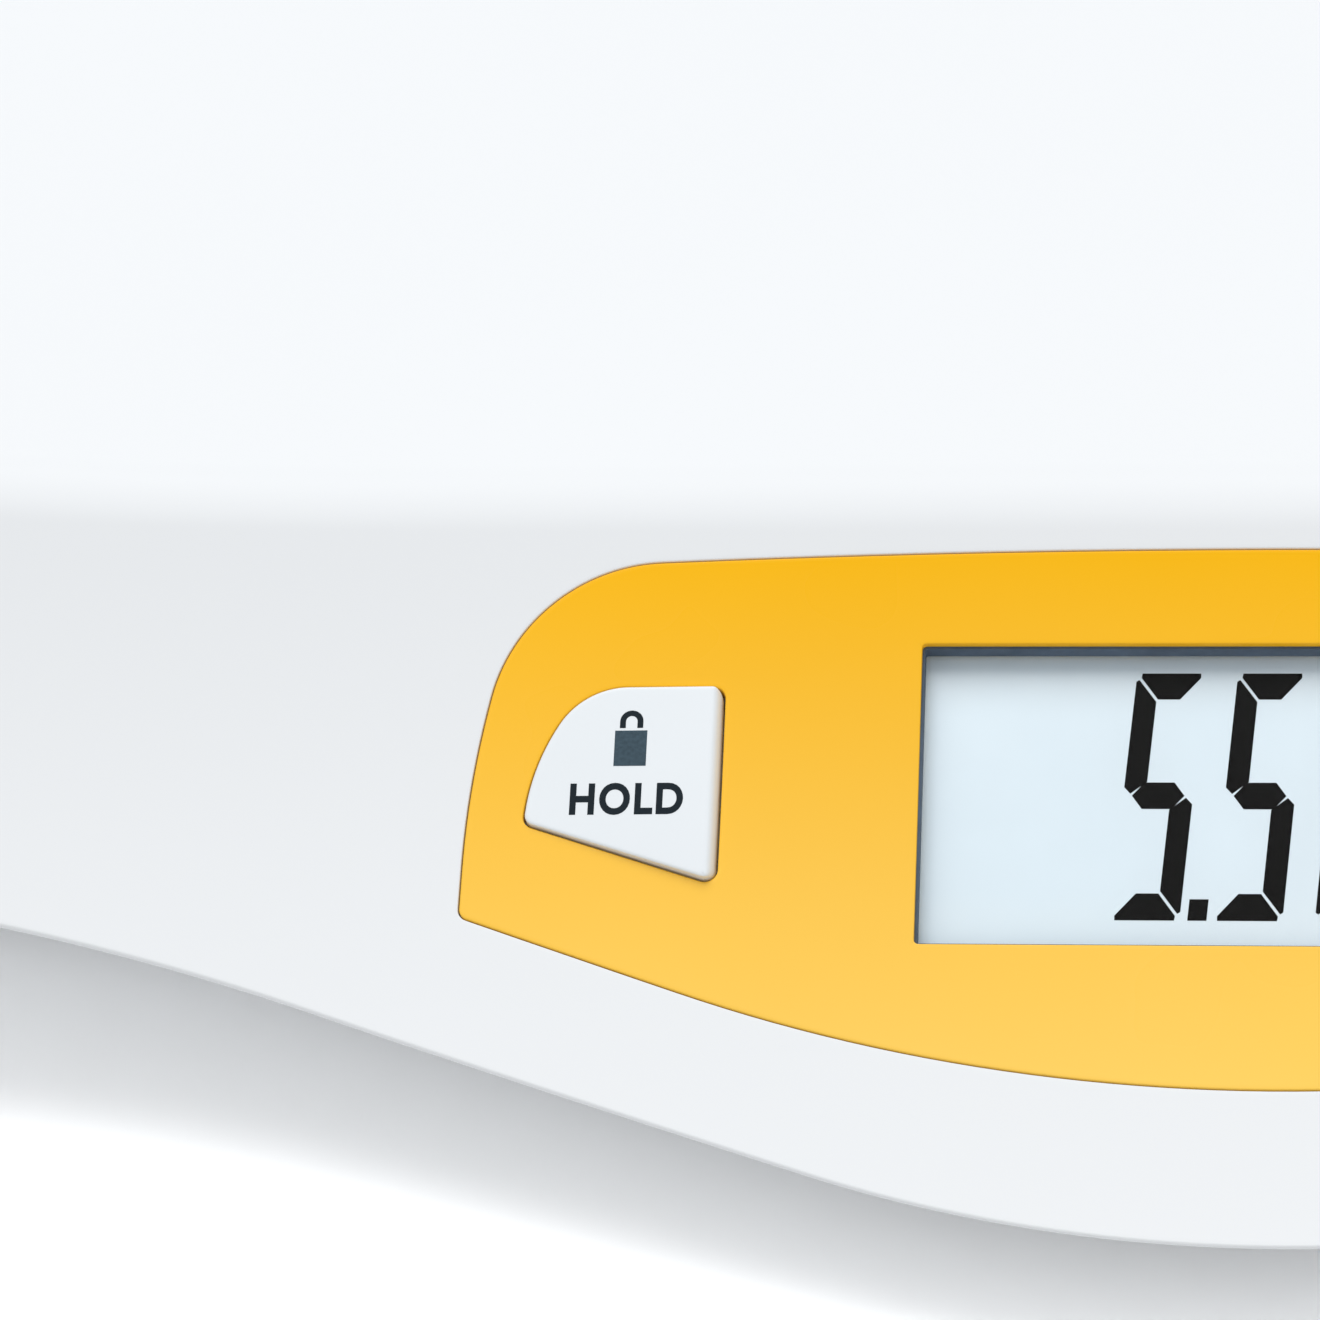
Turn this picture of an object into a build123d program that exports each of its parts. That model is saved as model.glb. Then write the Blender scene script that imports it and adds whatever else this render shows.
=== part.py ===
"""Digital baby weighing scale: a cradle-shaped tray over a shallow base on four load-cell feet.

Millimetres. +X is the user's right, +Y points away from the user, +Z is up. The origin is on the
surface that the scale stands on, under the middle of its outline.

The tray's top surface is one profile in the YZ plane, made of tangent arcs, that runs straight
along X in the middle and turns up along an arc at both wings. Whatever follows the tray, such as
its underside, the control panel and the top of the base, comes from that profile at its own depth.
What sits behind the control panel is placed on the panel's own plane, which is square to the keys.
"""
from build123d import *
import os
from math import asin, atan2, cos, degrees, radians, sin, tan

os.makedirs("parts", exist_ok=True)

# --- Outline of the tray, seen from above ------------------------------------------------------
half_width = 275.0
half_depth = 167.5
nose_share = 0.3658  # the bulge of the front edge, in front of the display
shoulder_share = 0.5311  # the hollow beside it: shares of the widest bend that fits the front
flank_setback = 35.1  # of the straight flank beside the bulge, behind the front edge
flank_length = 24.8
front_corner_radius = 80.0
side_bow = 12.0
back_corner_radius = 92.0
back_bow = 4.0

# --- Profile of the tray, front to back --------------------------------------------------------
lip_height = 14.0  # top of the front edge in the middle, above the ground
lip_slope = 12.0
apron_radius = 240.0
crest_slope = 31.0
crest_radius = 14.0
bowl_slope = 7.0
rise_slope = 24.0
rise_radius = 150.0
back_crest_radius = 15.0
back_rim_slope = 15.0
back_rim_width = 24.0
bend_height = 41.0  # height at which the bend of the wings is measured
bend_radius = 550.0
bend_arc = 30.0
half_straight = 90.0  # half length of the straight middle
overrun = 15.0  # how far the profile runs past the outline at each end
sky = 140.0  # above everything: where upward cuts end

# --- Clearances --------------------------------------------------------------------------------
moving_gap = 0.3  # beside what moves
slip_gap = 0.2  # beside what is slipped in
stack_gap = 0.05  # between flat pieces that lie on each other
seam_gap = 0.2  # between the tray and the base
tongue_gap = 0.4  # between the base's wall and the ribs on both sides of it
bond_gap = 0.1  # for the tape under the control panel
screw_gap = 0.25  # round a screw in a plain hole
screw_bite = 0.15  # how much smaller than the thread its pilot hole is

# --- Tray wall and what is moulded under it ----------------------------------------------------
tray_wall = 2.5
lip_round = 0.5
lip_chamfer = 1.6
rib_height = 4.0
rib_width = 1.8
rim_rib_inset = 5.5
wing_rib_pitch = 56.0
wing_rib_count = 4

# --- Base --------------------------------------------------------------------------------------
ground_clearance = 6.0
base_wall = 2.5
base_half_width = 178.0
base_front_inset = 15.5
base_back_inset = 27.5
base_nose_share = 0.5929
base_shoulder_share = 0.1976
base_flank_setback = 36.0
base_flank_length = 4.5
base_front_corner = 42.0
base_side_bow = 2.0
base_back_corner = 48.0
base_back_bow = 3.0
base_edge_round = 7.0

# --- Control panel -----------------------------------------------------------------------------
panel_setback = 47.75  # of the display's middle, behind the front edge
panel_thickness = 1.9
panel_half_width = 83.1
panel_bottom = -32.7  # heights on the panel are measured up its slope from the display's middle
panel_bottom_radius = 178.0
panel_bottom_angle = 19.7
panel_bottom_corner = 1.2
panel_side_start = -9.0
panel_side_radius = 100.0
panel_side_angle = 11.5
panel_corner_radius = 18.5
panel_corner_angle = 76.1
panel_gap = 0.15
ledge_width = 4.0
ledge_margin = 3.0
ledge_wall = 2.5

# --- Display: depths are measured below the panel's plane --------------------------------------
window_width = 72.0
window_height = 33.5
window_round = 0.5
window_depth = 2.0
lens_thickness = 0.8
glass_width = 78.0
glass_height = 37.0
glass_thickness = 2.2
holder_wall = 1.6
holder_gap = 0.2
holder_shelf = 3.5
zebra_width = 2.4
zebra_length = 62.0
zebra_offset = 13.2  # from the display's middle
board_depth = 8.6
board_thickness = 1.6
board_half_width = 74.0
board_top = 20.5
board_bottom = -20.5
board_notch_width = 14.0
board_notch_height = 11.0
post_radius = 2.6
post_places = ((48.0, -17.0), (64.0, 17.2))
chip_place = (22.0, 4.0)
chip_size = 12.0
chip_thickness = 1.4
chip_chamfer = 0.3
chip_pin_length = 0.8
chip_pin_width = 0.4
chip_pin_thickness = 0.5
chip_pin_pitch = 1.0
chip_pin_count = 10

# --- Keys on the panel -------------------------------------------------------------------------
key_inner = 56.7  # distance of the key's straight side from the middle
key_top = 11.7
key_top_run = 9.9
key_corner_radius = 8.2
key_corner_angle = 60.0
key_flank_radius = 24.0
key_flank_angle = 33.0
key_bottom = -10.1
key_bottom_slope = 18.2
key_round = 1.1
key_gap = 0.25
key_rise = 1.15  # of the straight side above the panel's plane
key_tilt = 1.8
key_edge_round = 0.55
key_travel = 0.8
key_flange = 1.2
key_flange_depth = 2.3
key_flange_thickness = 1.0
key_wall = 1.4
key_ceiling_depth = 0.9
key_post_radius = 2.4
key_place = (66.5, 2.0)

# --- Tactile switches --------------------------------------------------------------------------
switch_size = 6.0
switch_height = 3.4
switch_bore = 1.95
stem_radius = 1.7
stem_rise = 1.0
stem_hidden = 1.0

# --- Load cells and feet -----------------------------------------------------------------------
foot_side_inset = 50.0
foot_front_inset = 66.0
foot_back_inset = 32.0
foot_travel = 0.25
pad_radius = 13.0
pad_round = 1.0
pad_height = 3.4
pad_inset = 1.4
cup_radius = 14.8
cup_wall = 1.5
cup_floor = 1.6
cup_flange = 1.7
cup_flange_height = 0.9
cup_boss_radius = 4.0
foot_lip = 0.9
cell_size = 34.0
cell_thickness = 2.6
cell_slot = 2.2
cell_frame = 4.6
cell_neck = 9.0
gauge_length = 6.0
gauge_width = 4.0
gauge_height = 0.5
well_wall = 1.8
well_height = 4.5
well_gap = 0.25
hook_length = 9.0
hook_reach = 0.8

# --- Screws that hold the base to the tray -----------------------------------------------------
boss_radius = 5.0
boss_split = 21.0  # height where the base's posts meet the tray's
boss_web = 3.0
boss_front_x = 100.0
boss_front_inset = 49.0  # from the base's outline in the middle of the front
boss_side_y = 10.0
boss_side_inset = 15.0
boss_back_x = 62.0
boss_back_inset = 16.0
screw_radius = 1.5
screw_length = 11.0
screw_head_radius = 2.9
screw_head_height = 2.0
small_screw_radius = 1.0
small_screw_length = 5.0
small_screw_head_radius = 1.9
small_screw_head_height = 1.2
screw_point_angle = 35.0
cross_length = 1.2  # of the cross recess in a head of any size, in head radii
cross_width = 0.25

# --- Battery and its door ----------------------------------------------------------------------
bay_middle = (0.0, 45.0)
battery_length = 46.4
battery_width = 26.5
battery_height = 17.5
battery_round = 2.0
terminal_pitch = 12.7
terminal_height = 2.2
stud_radius = 2.8
socket_radius = 4.1
snap_thickness = 5.0
snap_rim = 1.6
bay_slack = 0.75
bay_wall = 2.0
door_lap = 3.0
door_thickness = 2.0
hinge_radius = 1.3
pin_radius = 0.8
pin_reach = 1.5
finger_radius = 9.0

# --- Unit button in the base -------------------------------------------------------------------
unit_place = (-64.0, 40.0)
unit_radius = 5.0
unit_flange = 1.2
unit_recess = 0.4
unit_travel = 0.8
unit_post_rise = 1.2
unit_board_length = 27.0
unit_board_width = 12.0
unit_post_offset = 10.5


# --- Derived places ----------------------------------------------------------------------------
panel_slope = degrees(asin(sin(radians(lip_slope)) + panel_setback / apron_radius))
panel_height = lip_height + apron_radius * (cos(radians(lip_slope)) - cos(radians(panel_slope)))
panel_plane = Plane(
    origin=(0, panel_setback - half_depth, panel_height),
    x_dir=(1, 0, 0),
    z_dir=(0, -sin(radians(panel_slope)), cos(radians(panel_slope))),
)
base_front = half_depth - base_front_inset
base_back = half_depth - base_back_inset
floor_top = ground_clearance + base_wall
glass_depth = window_depth + lens_thickness + stack_gap
foot_columns = (-(base_half_width - foot_side_inset), base_half_width - foot_side_inset)
foot_rows = (foot_front_inset - base_front, base_back - foot_back_inset)
foot_places = [(x, y) for y in foot_rows for x in foot_columns]
boss_places = (
    (boss_front_x, boss_front_inset - base_front),
    (base_half_width - boss_side_inset, boss_side_y),
    (boss_back_x, base_back - boss_back_inset),
)


# --- Outlines ----------------------------------------------------------------------------------
def bowed_outline(width, front, back, bulge_share, hollow_share, flank_back, flank_run,
                  front_corner, side_turn, back_corner, back_turn):
    """An outline of tangent arcs, from the middle of the front to the middle of the back.

    The bulge and the hollow beside it are joined by their common tangent. Their radii together
    can be at most `widest`, where that tangent has no length, and each takes its share of that.
    """
    side, rear = radians(side_turn), radians(back_turn)
    reach = width - back_corner * (cos(side) - sin(rear))
    rise = back - tan(rear / 2) * reach - back_corner * (cos(rear) - sin(side))
    rise -= flank_back - front + front_corner * (1 - sin(side))
    side_radius = rise / (2 * sin(side) - tan(rear / 2) * (1 - cos(side)))
    corner_start = width - side_radius * (1 - cos(side)) - front_corner * cos(side)
    hollow_end = corner_start - flank_run
    widest = (hollow_end**2 + flank_back**2) / (2 * flank_back)
    nose, shoulder = bulge_share * widest, hollow_share * widest
    between = Vector(hollow_end, flank_back - nose - shoulder)  # from centre to centre
    nose_turn = asin((nose + shoulder) / between.length) - atan2(-between.Y, between.X)
    run = between.X * cos(nose_turn) + between.Y * sin(nose_turn)
    with BuildSketch(Plane.XY) as outline:
        with BuildLine():
            bulge = JernArc((0, -front), (1, 0), nose, degrees(nose_turn))
            slant = Line(bulge @ 1, bulge @ 1 + (bulge % 1) * run)
            hollow = JernArc(slant @ 1, slant % 1, shoulder, -degrees(nose_turn))
            straight = Line(hollow @ 1, (corner_start, (hollow @ 1).Y))
            turn = JernArc(straight @ 1, (1, 0), front_corner, 90 - side_turn)
            bow = JernArc(turn @ 1, turn % 1, side_radius, 2 * side_turn)
            curl = JernArc(bow @ 1, bow % 1, back_corner, 90 - side_turn - back_turn)
            JernArc(curl @ 1, curl % 1, (curl @ 1).X / sin(rear), back_turn)
            mirror(about=Plane.YZ)
        make_face()
    return outline.sketch


def tray_outline():
    return bowed_outline(half_width, half_depth, half_depth, nose_share, shoulder_share,
                         flank_setback, flank_length, front_corner_radius, side_bow,
                         back_corner_radius, back_bow)


def base_outline():
    return bowed_outline(base_half_width, base_front, base_back, base_nose_share,
                         base_shoulder_share, base_flank_setback, base_flank_length,
                         base_front_corner, base_side_bow, base_back_corner, base_back_bow)


def ring(outline, inset, width):
    """A ring that follows an outline, `inset` inside it and `width` wide."""
    with BuildSketch(Plane.XY) as band:
        add(outline)
        offset(amount=-inset, mode=Mode.REPLACE)
        offset(amount=-width, mode=Mode.SUBTRACT)
    return band.sketch


# --- Surfaces of the tray ----------------------------------------------------------------------
def tray_profile(depth):
    """The tray's profile, `depth` under its top surface, closed below the ground."""
    front, crest = radians(lip_slope), radians(crest_slope)
    bowl, climb, fall = radians(bowl_slope), radians(rise_slope), radians(back_rim_slope)
    bowl_length = 2 * half_depth - back_rim_width
    bowl_length -= apron_radius * (sin(crest) - sin(front)) + crest_radius * (sin(crest) + sin(bowl))
    bowl_length -= rise_radius * (sin(climb) - sin(bowl)) + back_crest_radius * (sin(climb) + sin(fall))
    bowl_radius = bowl_length / (2 * sin(bowl))
    start = Vector(-half_depth + depth * sin(front), lip_height - depth * cos(front))
    heading = Vector(cos(front), sin(front))
    with BuildSketch(Plane.XY) as profile:
        with BuildLine():
            run_in = Line(start - heading * overrun, start)
            apron = JernArc(start, heading, apron_radius + depth, crest_slope - lip_slope)
            ridge = JernArc(apron @ 1, apron % 1, crest_radius - depth, -crest_slope - bowl_slope)
            hollow = JernArc(ridge @ 1, ridge % 1, bowl_radius + depth, 2 * bowl_slope)
            rise = JernArc(hollow @ 1, hollow % 1, rise_radius + depth, rise_slope - bowl_slope)
            back = JernArc(rise @ 1, rise % 1, back_crest_radius - depth, -rise_slope - back_rim_slope)
            run_out = Line(back @ 1, back @ 1 + (back % 1) * (back_rim_width + overrun))
            Polyline(run_out @ 1, ((run_out @ 1).X, -sky), ((run_in @ 0).X, -sky), run_in @ 0)
        make_face()
    return profile.sketch


def tray_block(depth):
    """Everything that lies more than `depth` under the tray's top surface."""
    profile = tray_profile(depth)
    with BuildPart() as block:
        with BuildSketch(Plane.YZ.offset(-half_straight)):
            add(profile)
        extrude(amount=2 * half_straight)
        for side in (-1, 1):
            bend = Axis((side * half_straight, 0, bend_height + bend_radius), (0, -side, 0))
            with BuildSketch(Plane.YZ.offset(side * half_straight)):
                add(profile)
            revolve(axis=bend, revolution_arc=bend_arc)
    return block.part


# --- Control panel outline and its keys --------------------------------------------------------
def panel_outline():
    with BuildSketch(Plane.XY) as outline:
        with BuildLine():
            bottom = JernArc((0, panel_bottom), (1, 0), panel_bottom_radius, panel_bottom_angle)
            reach = (panel_half_width - (bottom @ 1).X) / cos(radians(panel_bottom_angle))
            reach -= panel_bottom_corner * tan(radians(90 - panel_bottom_angle) / 2)
            slant = Line(bottom @ 1, bottom @ 1 + (bottom % 1) * reach)
            tip = JernArc(slant @ 1, slant % 1, panel_bottom_corner, 90 - panel_bottom_angle)
            side = Line(tip @ 1, (panel_half_width, panel_side_start))
            flank = JernArc(side @ 1, (0, 1), panel_side_radius, panel_side_angle)
            corner = JernArc(flank @ 1, flank % 1, panel_corner_radius, panel_corner_angle)
            top_angle = 90 - panel_side_angle - panel_corner_angle
            JernArc(corner @ 1, corner % 1, (corner @ 1).X / sin(radians(top_angle)), top_angle)
            mirror(about=Plane.YZ)
        make_face()
    return outline.sketch


def panel_prism(grow):
    """A prism through the tray, square to the panel, with the panel's outline made larger."""
    outline = panel_outline()
    with BuildPart() as prism:
        with BuildSketch(panel_plane.offset(-overrun)):
            add(outline)
            if grow:
                offset(amount=grow, kind=Kind.INTERSECTION, mode=Mode.REPLACE)
        extrude(amount=2 * overrun)
    return prism.part


def key_outline(side, grow=0.0):
    """The outline of the key at the right (side 1) or at the left (side -1)."""
    with BuildSketch(Plane.XY) as outline:
        with BuildLine():
            top = Line((key_inner, key_top), (key_inner + key_top_run, key_top))
            corner = JernArc(top @ 1, (1, 0), key_corner_radius, -key_corner_angle)
            flank = JernArc(corner @ 1, corner % 1, key_flank_radius, -key_flank_angle)
            Polyline(flank @ 1, ((flank @ 1).X, key_bottom), (key_inner, key_bottom), top @ 0)
        make_face()
        with Locations((key_inner, key_bottom)):
            Rectangle(4 * key_top, key_top, rotation=key_bottom_slope, mode=Mode.SUBTRACT,
                      align=(Align.CENTER, Align.MAX))
        inner_corners = outline.vertices().group_by(Axis.X)[0]
        outer_corner = outline.vertices().sort_by(Axis.X)[-1:]
        fillet(inner_corners + outer_corner, key_round)
        if grow:
            offset(amount=grow, mode=Mode.REPLACE)
        if side < 0:
            mirror(about=Plane.YZ, mode=Mode.REPLACE)
    return outline.sketch


def both_sides(places):
    return [(side * x, y) for x, y in places for side in (-1, 1)]


# --- Tray --------------------------------------------------------------------------------------
with BuildPart() as tray_body:
    add(tray_block(0))
    with BuildSketch():
        add(tray_outline())
    extrude(amount=sky, mode=Mode.INTERSECT)
    walls = tray_body.faces().filter_by(lambda face: abs(face.normal_at().Z) < 0.01)
    rim = [edge for wall in walls for edge in wall.edges() if edge.center().Z > lip_height / 2]
    fillet([edge for edge in rim if abs((edge % 0.5).Z) < 0.9], lip_round)

with BuildPart() as tray_ribs:
    with BuildSketch():
        add(ring(tray_outline(), rim_rib_inset, rib_width))
    extrude(amount=sky)
    with BuildSketch():
        add(ring(base_outline(), base_wall + tongue_gap, rib_width))
    extrude(amount=sky)
    with BuildSketch():
        add(tray_outline())
        offset(amount=-rim_rib_inset - rib_width / 2, mode=Mode.REPLACE)
        with GridLocations(1, wing_rib_pitch, 1, wing_rib_count):
            Rectangle(2 * half_width, rib_width, mode=Mode.INTERSECT)
        Rectangle(2 * (base_half_width + tongue_gap), 2 * half_depth, mode=Mode.SUBTRACT)
    extrude(amount=sky)
    add(tray_block(tray_wall / 2), mode=Mode.INTERSECT)
    add(tray_block(tray_wall + rib_height), mode=Mode.SUBTRACT)

with BuildPart() as tray_bosses:
    with BuildSketch(Plane.XY.offset(boss_split)):
        with Locations(both_sides(boss_places)):
            Circle(boss_radius)
    extrude(amount=sky)
    add(tray_block(tray_wall / 2), mode=Mode.INTERSECT)

with BuildPart() as panel_ledge:
    add(panel_prism(ledge_margin))
    add(tray_block(tray_wall / 2), mode=Mode.INTERSECT)
    add(tray_block(panel_thickness + bond_gap + ledge_wall), mode=Mode.SUBTRACT)

with BuildPart() as panel_pocket:
    add(panel_prism(panel_gap))
    add(tray_block(panel_thickness + bond_gap), mode=Mode.SUBTRACT)
    add(panel_prism(-ledge_width))

with BuildPart() as top_shell:
    add(tray_body.part)
    add(tray_block(tray_wall), mode=Mode.SUBTRACT)
    walls = top_shell.faces().filter_by(lambda face: abs(face.normal_at().Z) < 0.01)
    feather = [edge for wall in walls for edge in wall.edges() if edge.center().Z < wall.center().Z]
    chamfer([edge for edge in feather if abs((edge % 0.5).Z) < 0.9], lip_chamfer)
    add(tray_ribs.part)
    add(tray_bosses.part)
    add(panel_ledge.part)
    add(panel_pocket.part, mode=Mode.SUBTRACT)
    with BuildSketch(Plane.XY.offset(boss_split)):
        with Locations(both_sides(boss_places)):
            Circle(screw_radius - screw_bite)
    extrude(amount=screw_length, mode=Mode.SUBTRACT)
top_shell.part.label = "top_shell"
export_step(top_shell.part, "parts/top_shell.step")

# --- Control panel -----------------------------------------------------------------------------
frame_width = glass_width + 2 * (holder_gap + holder_wall)
frame_height = glass_height + 2 * (holder_gap + holder_wall)

key_openings = [key_outline(side, key_gap) for side in (-1, 1)]

with BuildPart() as window_frame:
    with BuildSketch(panel_plane.offset(-window_depth)):
        RectangleRounded(frame_width, frame_height, holder_wall)
    extrude(amount=overrun)
    add(tray_block(panel_thickness / 2), mode=Mode.INTERSECT)

with BuildPart() as control_panel:
    add(panel_prism(0))
    add(tray_block(0), mode=Mode.INTERSECT)
    add(tray_block(panel_thickness), mode=Mode.SUBTRACT)
    add(window_frame.part)
    with BuildSketch(panel_plane.offset(-board_depth)):
        with Locations(both_sides(post_places)):
            Circle(post_radius)
    extrude(amount=board_depth - panel_thickness / 2)
    with BuildSketch(panel_plane.offset(-board_depth)):
        with Locations(both_sides(post_places)):
            Circle(small_screw_radius - screw_bite)
    extrude(amount=small_screw_length, mode=Mode.SUBTRACT)
    with BuildSketch(panel_plane.offset(-overrun)):
        RectangleRounded(window_width, window_height, window_round)
        add(key_openings)
    extrude(amount=2 * overrun, mode=Mode.SUBTRACT)
control_panel.part.label = "control_panel"
export_step(control_panel.part, "parts/control_panel.step")

# --- Keys on the panel -------------------------------------------------------------------------
key_depth = key_flange_depth + key_flange_thickness
stem_top = board_depth - switch_height - stem_rise


def key_cap(side):
    """A key: a cap that leans down towards the panel's end, over a flange that keeps it in."""
    outline, flange = key_outline(side), key_outline(side, key_flange)
    inside = key_outline(side, -key_wall)
    lean = Location((side * key_inner, 0, key_rise), (0, side * key_tilt, 0))
    crown = Plane(panel_plane.location * lean)
    with BuildPart() as cap:
        with BuildSketch(panel_plane.offset(-key_depth)):
            add(outline)
        extrude(amount=key_depth + 2 * key_rise)
        split(bisect_by=crown, keep=Keep.BOTTOM)
        face = cap.faces().sort_by(Axis(crown.origin, crown.z_dir))[-1]
        fillet(face.edges(), key_edge_round)
        with BuildSketch(panel_plane.offset(-key_depth)):
            add(flange)
        extrude(amount=key_flange_thickness)
        with BuildSketch(panel_plane.offset(-key_depth)):
            add(inside)
        extrude(amount=key_depth - key_ceiling_depth, mode=Mode.SUBTRACT)
        with BuildSketch(panel_plane.offset(-stem_top)):
            with Locations((side * key_place[0], key_place[1])):
                Circle(key_post_radius)
        extrude(amount=stem_top - key_ceiling_depth)
    return cap.part


for side, name in ((-1, "hold"), (1, "power")):
    with BuildPart() as key:
        add(key_cap(side))
    key.part.label = f"{name}_key"
    export_step(key.part, f"parts/{name}_key.step")

    with BuildPart() as stem:
        with BuildSketch(panel_plane.offset(-stem_top - stem_rise - stem_hidden)):
            with Locations((side * key_place[0], key_place[1])):
                Circle(stem_radius)
        extrude(amount=stem_rise + stem_hidden)
    stem.part.label = f"{name}_stem"
    export_step(stem.part, f"parts/{name}_stem.step")

with BuildPart() as key_switches:
    with BuildSketch(panel_plane.offset(-board_depth)):
        with Locations(both_sides([key_place])):
            Rectangle(switch_size, switch_size)
    extrude(amount=switch_height)
    with BuildSketch(panel_plane.offset(-board_depth + switch_height)):
        with Locations(both_sides([key_place])):
            Circle(switch_bore)
    extrude(amount=-(stem_hidden + key_travel + stack_gap), mode=Mode.SUBTRACT)
key_switches.part.label = "key_switches"
export_step(key_switches.part, "parts/key_switches.step")

# --- Display stack -----------------------------------------------------------------------------
with BuildPart() as lcd_lens:
    with BuildSketch(panel_plane.offset(-window_depth - lens_thickness)):
        Rectangle(glass_width, glass_height)
    extrude(amount=lens_thickness)
lcd_lens.part.label = "lcd_lens"
export_step(lcd_lens.part, "parts/lcd_lens.step")

with BuildPart() as lcd_glass:
    with BuildSketch(panel_plane.offset(-glass_depth - glass_thickness)):
        Rectangle(glass_width, glass_height)
    extrude(amount=glass_thickness)
lcd_glass.part.label = "lcd_glass"
export_step(lcd_glass.part, "parts/lcd_glass.step")

with BuildPart() as lcd_holder:
    with BuildSketch(panel_plane.offset(-board_depth)):
        RectangleRounded(frame_width, frame_height, holder_wall)
        Rectangle(glass_width - 2 * holder_shelf, glass_height - 2 * holder_shelf, mode=Mode.SUBTRACT)
    extrude(amount=board_depth - window_depth - stack_gap)
    with BuildSketch(panel_plane.offset(-glass_depth - glass_thickness)):
        Rectangle(glass_width + 2 * holder_gap, glass_height + 2 * holder_gap)
    extrude(amount=board_depth, mode=Mode.SUBTRACT)
lcd_holder.part.label = "lcd_holder"
export_step(lcd_holder.part, "parts/lcd_holder.step")

with BuildPart() as zebra_strips:
    with BuildSketch(panel_plane.offset(-board_depth)):
        with Locations((0, -zebra_offset), (0, zebra_offset)):
            Rectangle(zebra_length, zebra_width)
    extrude(amount=board_depth - glass_depth - glass_thickness)
zebra_strips.part.label = "zebra_strips"
export_step(zebra_strips.part, "parts/zebra_strips.step")

with BuildPart() as main_board:
    with BuildSketch(panel_plane.offset(-board_depth - board_thickness)) as board:
        with BuildLine():
            Polyline(
                (0, board_bottom),
                (board_half_width - board_notch_width, board_bottom),
                (board_half_width, board_bottom + board_notch_height),
                (board_half_width, board_top),
                (0, board_top),
            )
            mirror(about=Plane.YZ)
        make_face()
        with Locations(both_sides(post_places)):
            Circle(small_screw_radius + screw_gap, mode=Mode.SUBTRACT)
    extrude(amount=board_thickness)
main_board.part.label = "main_board"
export_step(main_board.part, "parts/main_board.step")

with BuildPart() as control_chip:
    with BuildSketch(panel_plane.offset(-board_depth - board_thickness)):
        with Locations(chip_place):
            Rectangle(chip_size, chip_size)
    extrude(amount=-chip_thickness)
    chip_face = control_chip.faces().sort_by(Axis(panel_plane.origin, panel_plane.z_dir))[0]
    chamfer(chip_face.edges(), chip_chamfer)
    pin_span = chip_size + chip_pin_length
    with BuildSketch(panel_plane.offset(-board_depth - board_thickness)):
        with Locations(chip_place):
            with GridLocations(pin_span, chip_pin_pitch, 2, chip_pin_count):
                Rectangle(chip_pin_length, chip_pin_width)
            with GridLocations(chip_pin_pitch, pin_span, chip_pin_count, 2):
                Rectangle(chip_pin_width, chip_pin_length)
    extrude(amount=-chip_pin_thickness)
control_chip.part.label = "control_chip"
export_step(control_chip.part, "parts/control_chip.step")


# --- Screws ------------------------------------------------------------------------------------
def screw(head_radius, head_height, radius, length):
    """A pan-head screw that points up, with the underside of its head on the XY plane."""
    with BuildPart() as body:
        with BuildSketch(Plane.XY):
            Circle(radius)
        extrude(amount=length - radius)
        with BuildSketch(Plane.XY.offset(length - radius)):
            Circle(radius)
        extrude(amount=radius, taper=screw_point_angle)
        with BuildSketch(Plane.XY):
            Circle(head_radius)
        extrude(amount=-head_height)
        fillet(body.edges().sort_by(Axis.Z)[:1], head_height / 2)
        with BuildSketch(Plane.XY.offset(-head_height)):
            Rectangle(head_radius * cross_length, head_radius * cross_width)
            Rectangle(head_radius * cross_width, head_radius * cross_length)
        extrude(amount=head_height / 2, mode=Mode.SUBTRACT)
    return body.part


housing_screw = screw(screw_head_radius, screw_head_height, screw_radius - screw_bite, screw_length)
small_screw = screw(small_screw_head_radius, small_screw_head_height,
                    small_screw_radius - screw_bite, small_screw_length)
head_seat = boss_split - boss_web

with BuildPart() as housing_screws:
    with Locations([(x, y, head_seat) for x, y in both_sides(boss_places)]):
        add(housing_screw)
housing_screws.part.label = "housing_screws"
export_step(housing_screws.part, "parts/housing_screws.step")

with BuildPart() as board_screws:
    for x, y in both_sides(post_places):
        with Locations(panel_plane.location * Location((x, y, -board_depth - board_thickness))):
            add(small_screw)
board_screws.part.label = "board_screws"
export_step(board_screws.part, "parts/board_screws.step")

# --- Load cells and feet -----------------------------------------------------------------------
cell_top = floor_top + cell_thickness
cell_opening = cell_size - 2 * cell_frame

with BuildPart() as load_cells:
    with BuildSketch(Plane.XY.offset(floor_top)):
        with Locations(foot_places):
            Rectangle(cell_size, cell_size)
            Rectangle(cell_opening, cell_opening, mode=Mode.SUBTRACT)
            Rectangle(cell_opening - 2 * cell_slot, cell_opening - 2 * cell_slot)
        with Locations([(x, y - cell_opening / 2) for x, y in foot_places]):
            Rectangle(cell_neck, 3 * cell_slot)
    extrude(amount=cell_thickness)
load_cells.part.label = "load_cells"
export_step(load_cells.part, "parts/load_cells.step")

with BuildPart() as strain_gauges:
    with BuildSketch(Plane.XY.offset(cell_top)):
        with Locations([(x, y - (cell_opening - cell_slot) / 2) for x, y in foot_places]):
            Rectangle(gauge_length, gauge_width)
    extrude(amount=gauge_height)
strain_gauges.part.label = "strain_gauges"
export_step(strain_gauges.part, "parts/strain_gauges.step")

lip_top = ground_clearance + foot_lip
flange_bottom = lip_top + moving_gap
flange_top = flange_bottom + cup_flange_height
cup_bottom = pad_height - pad_inset

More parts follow.
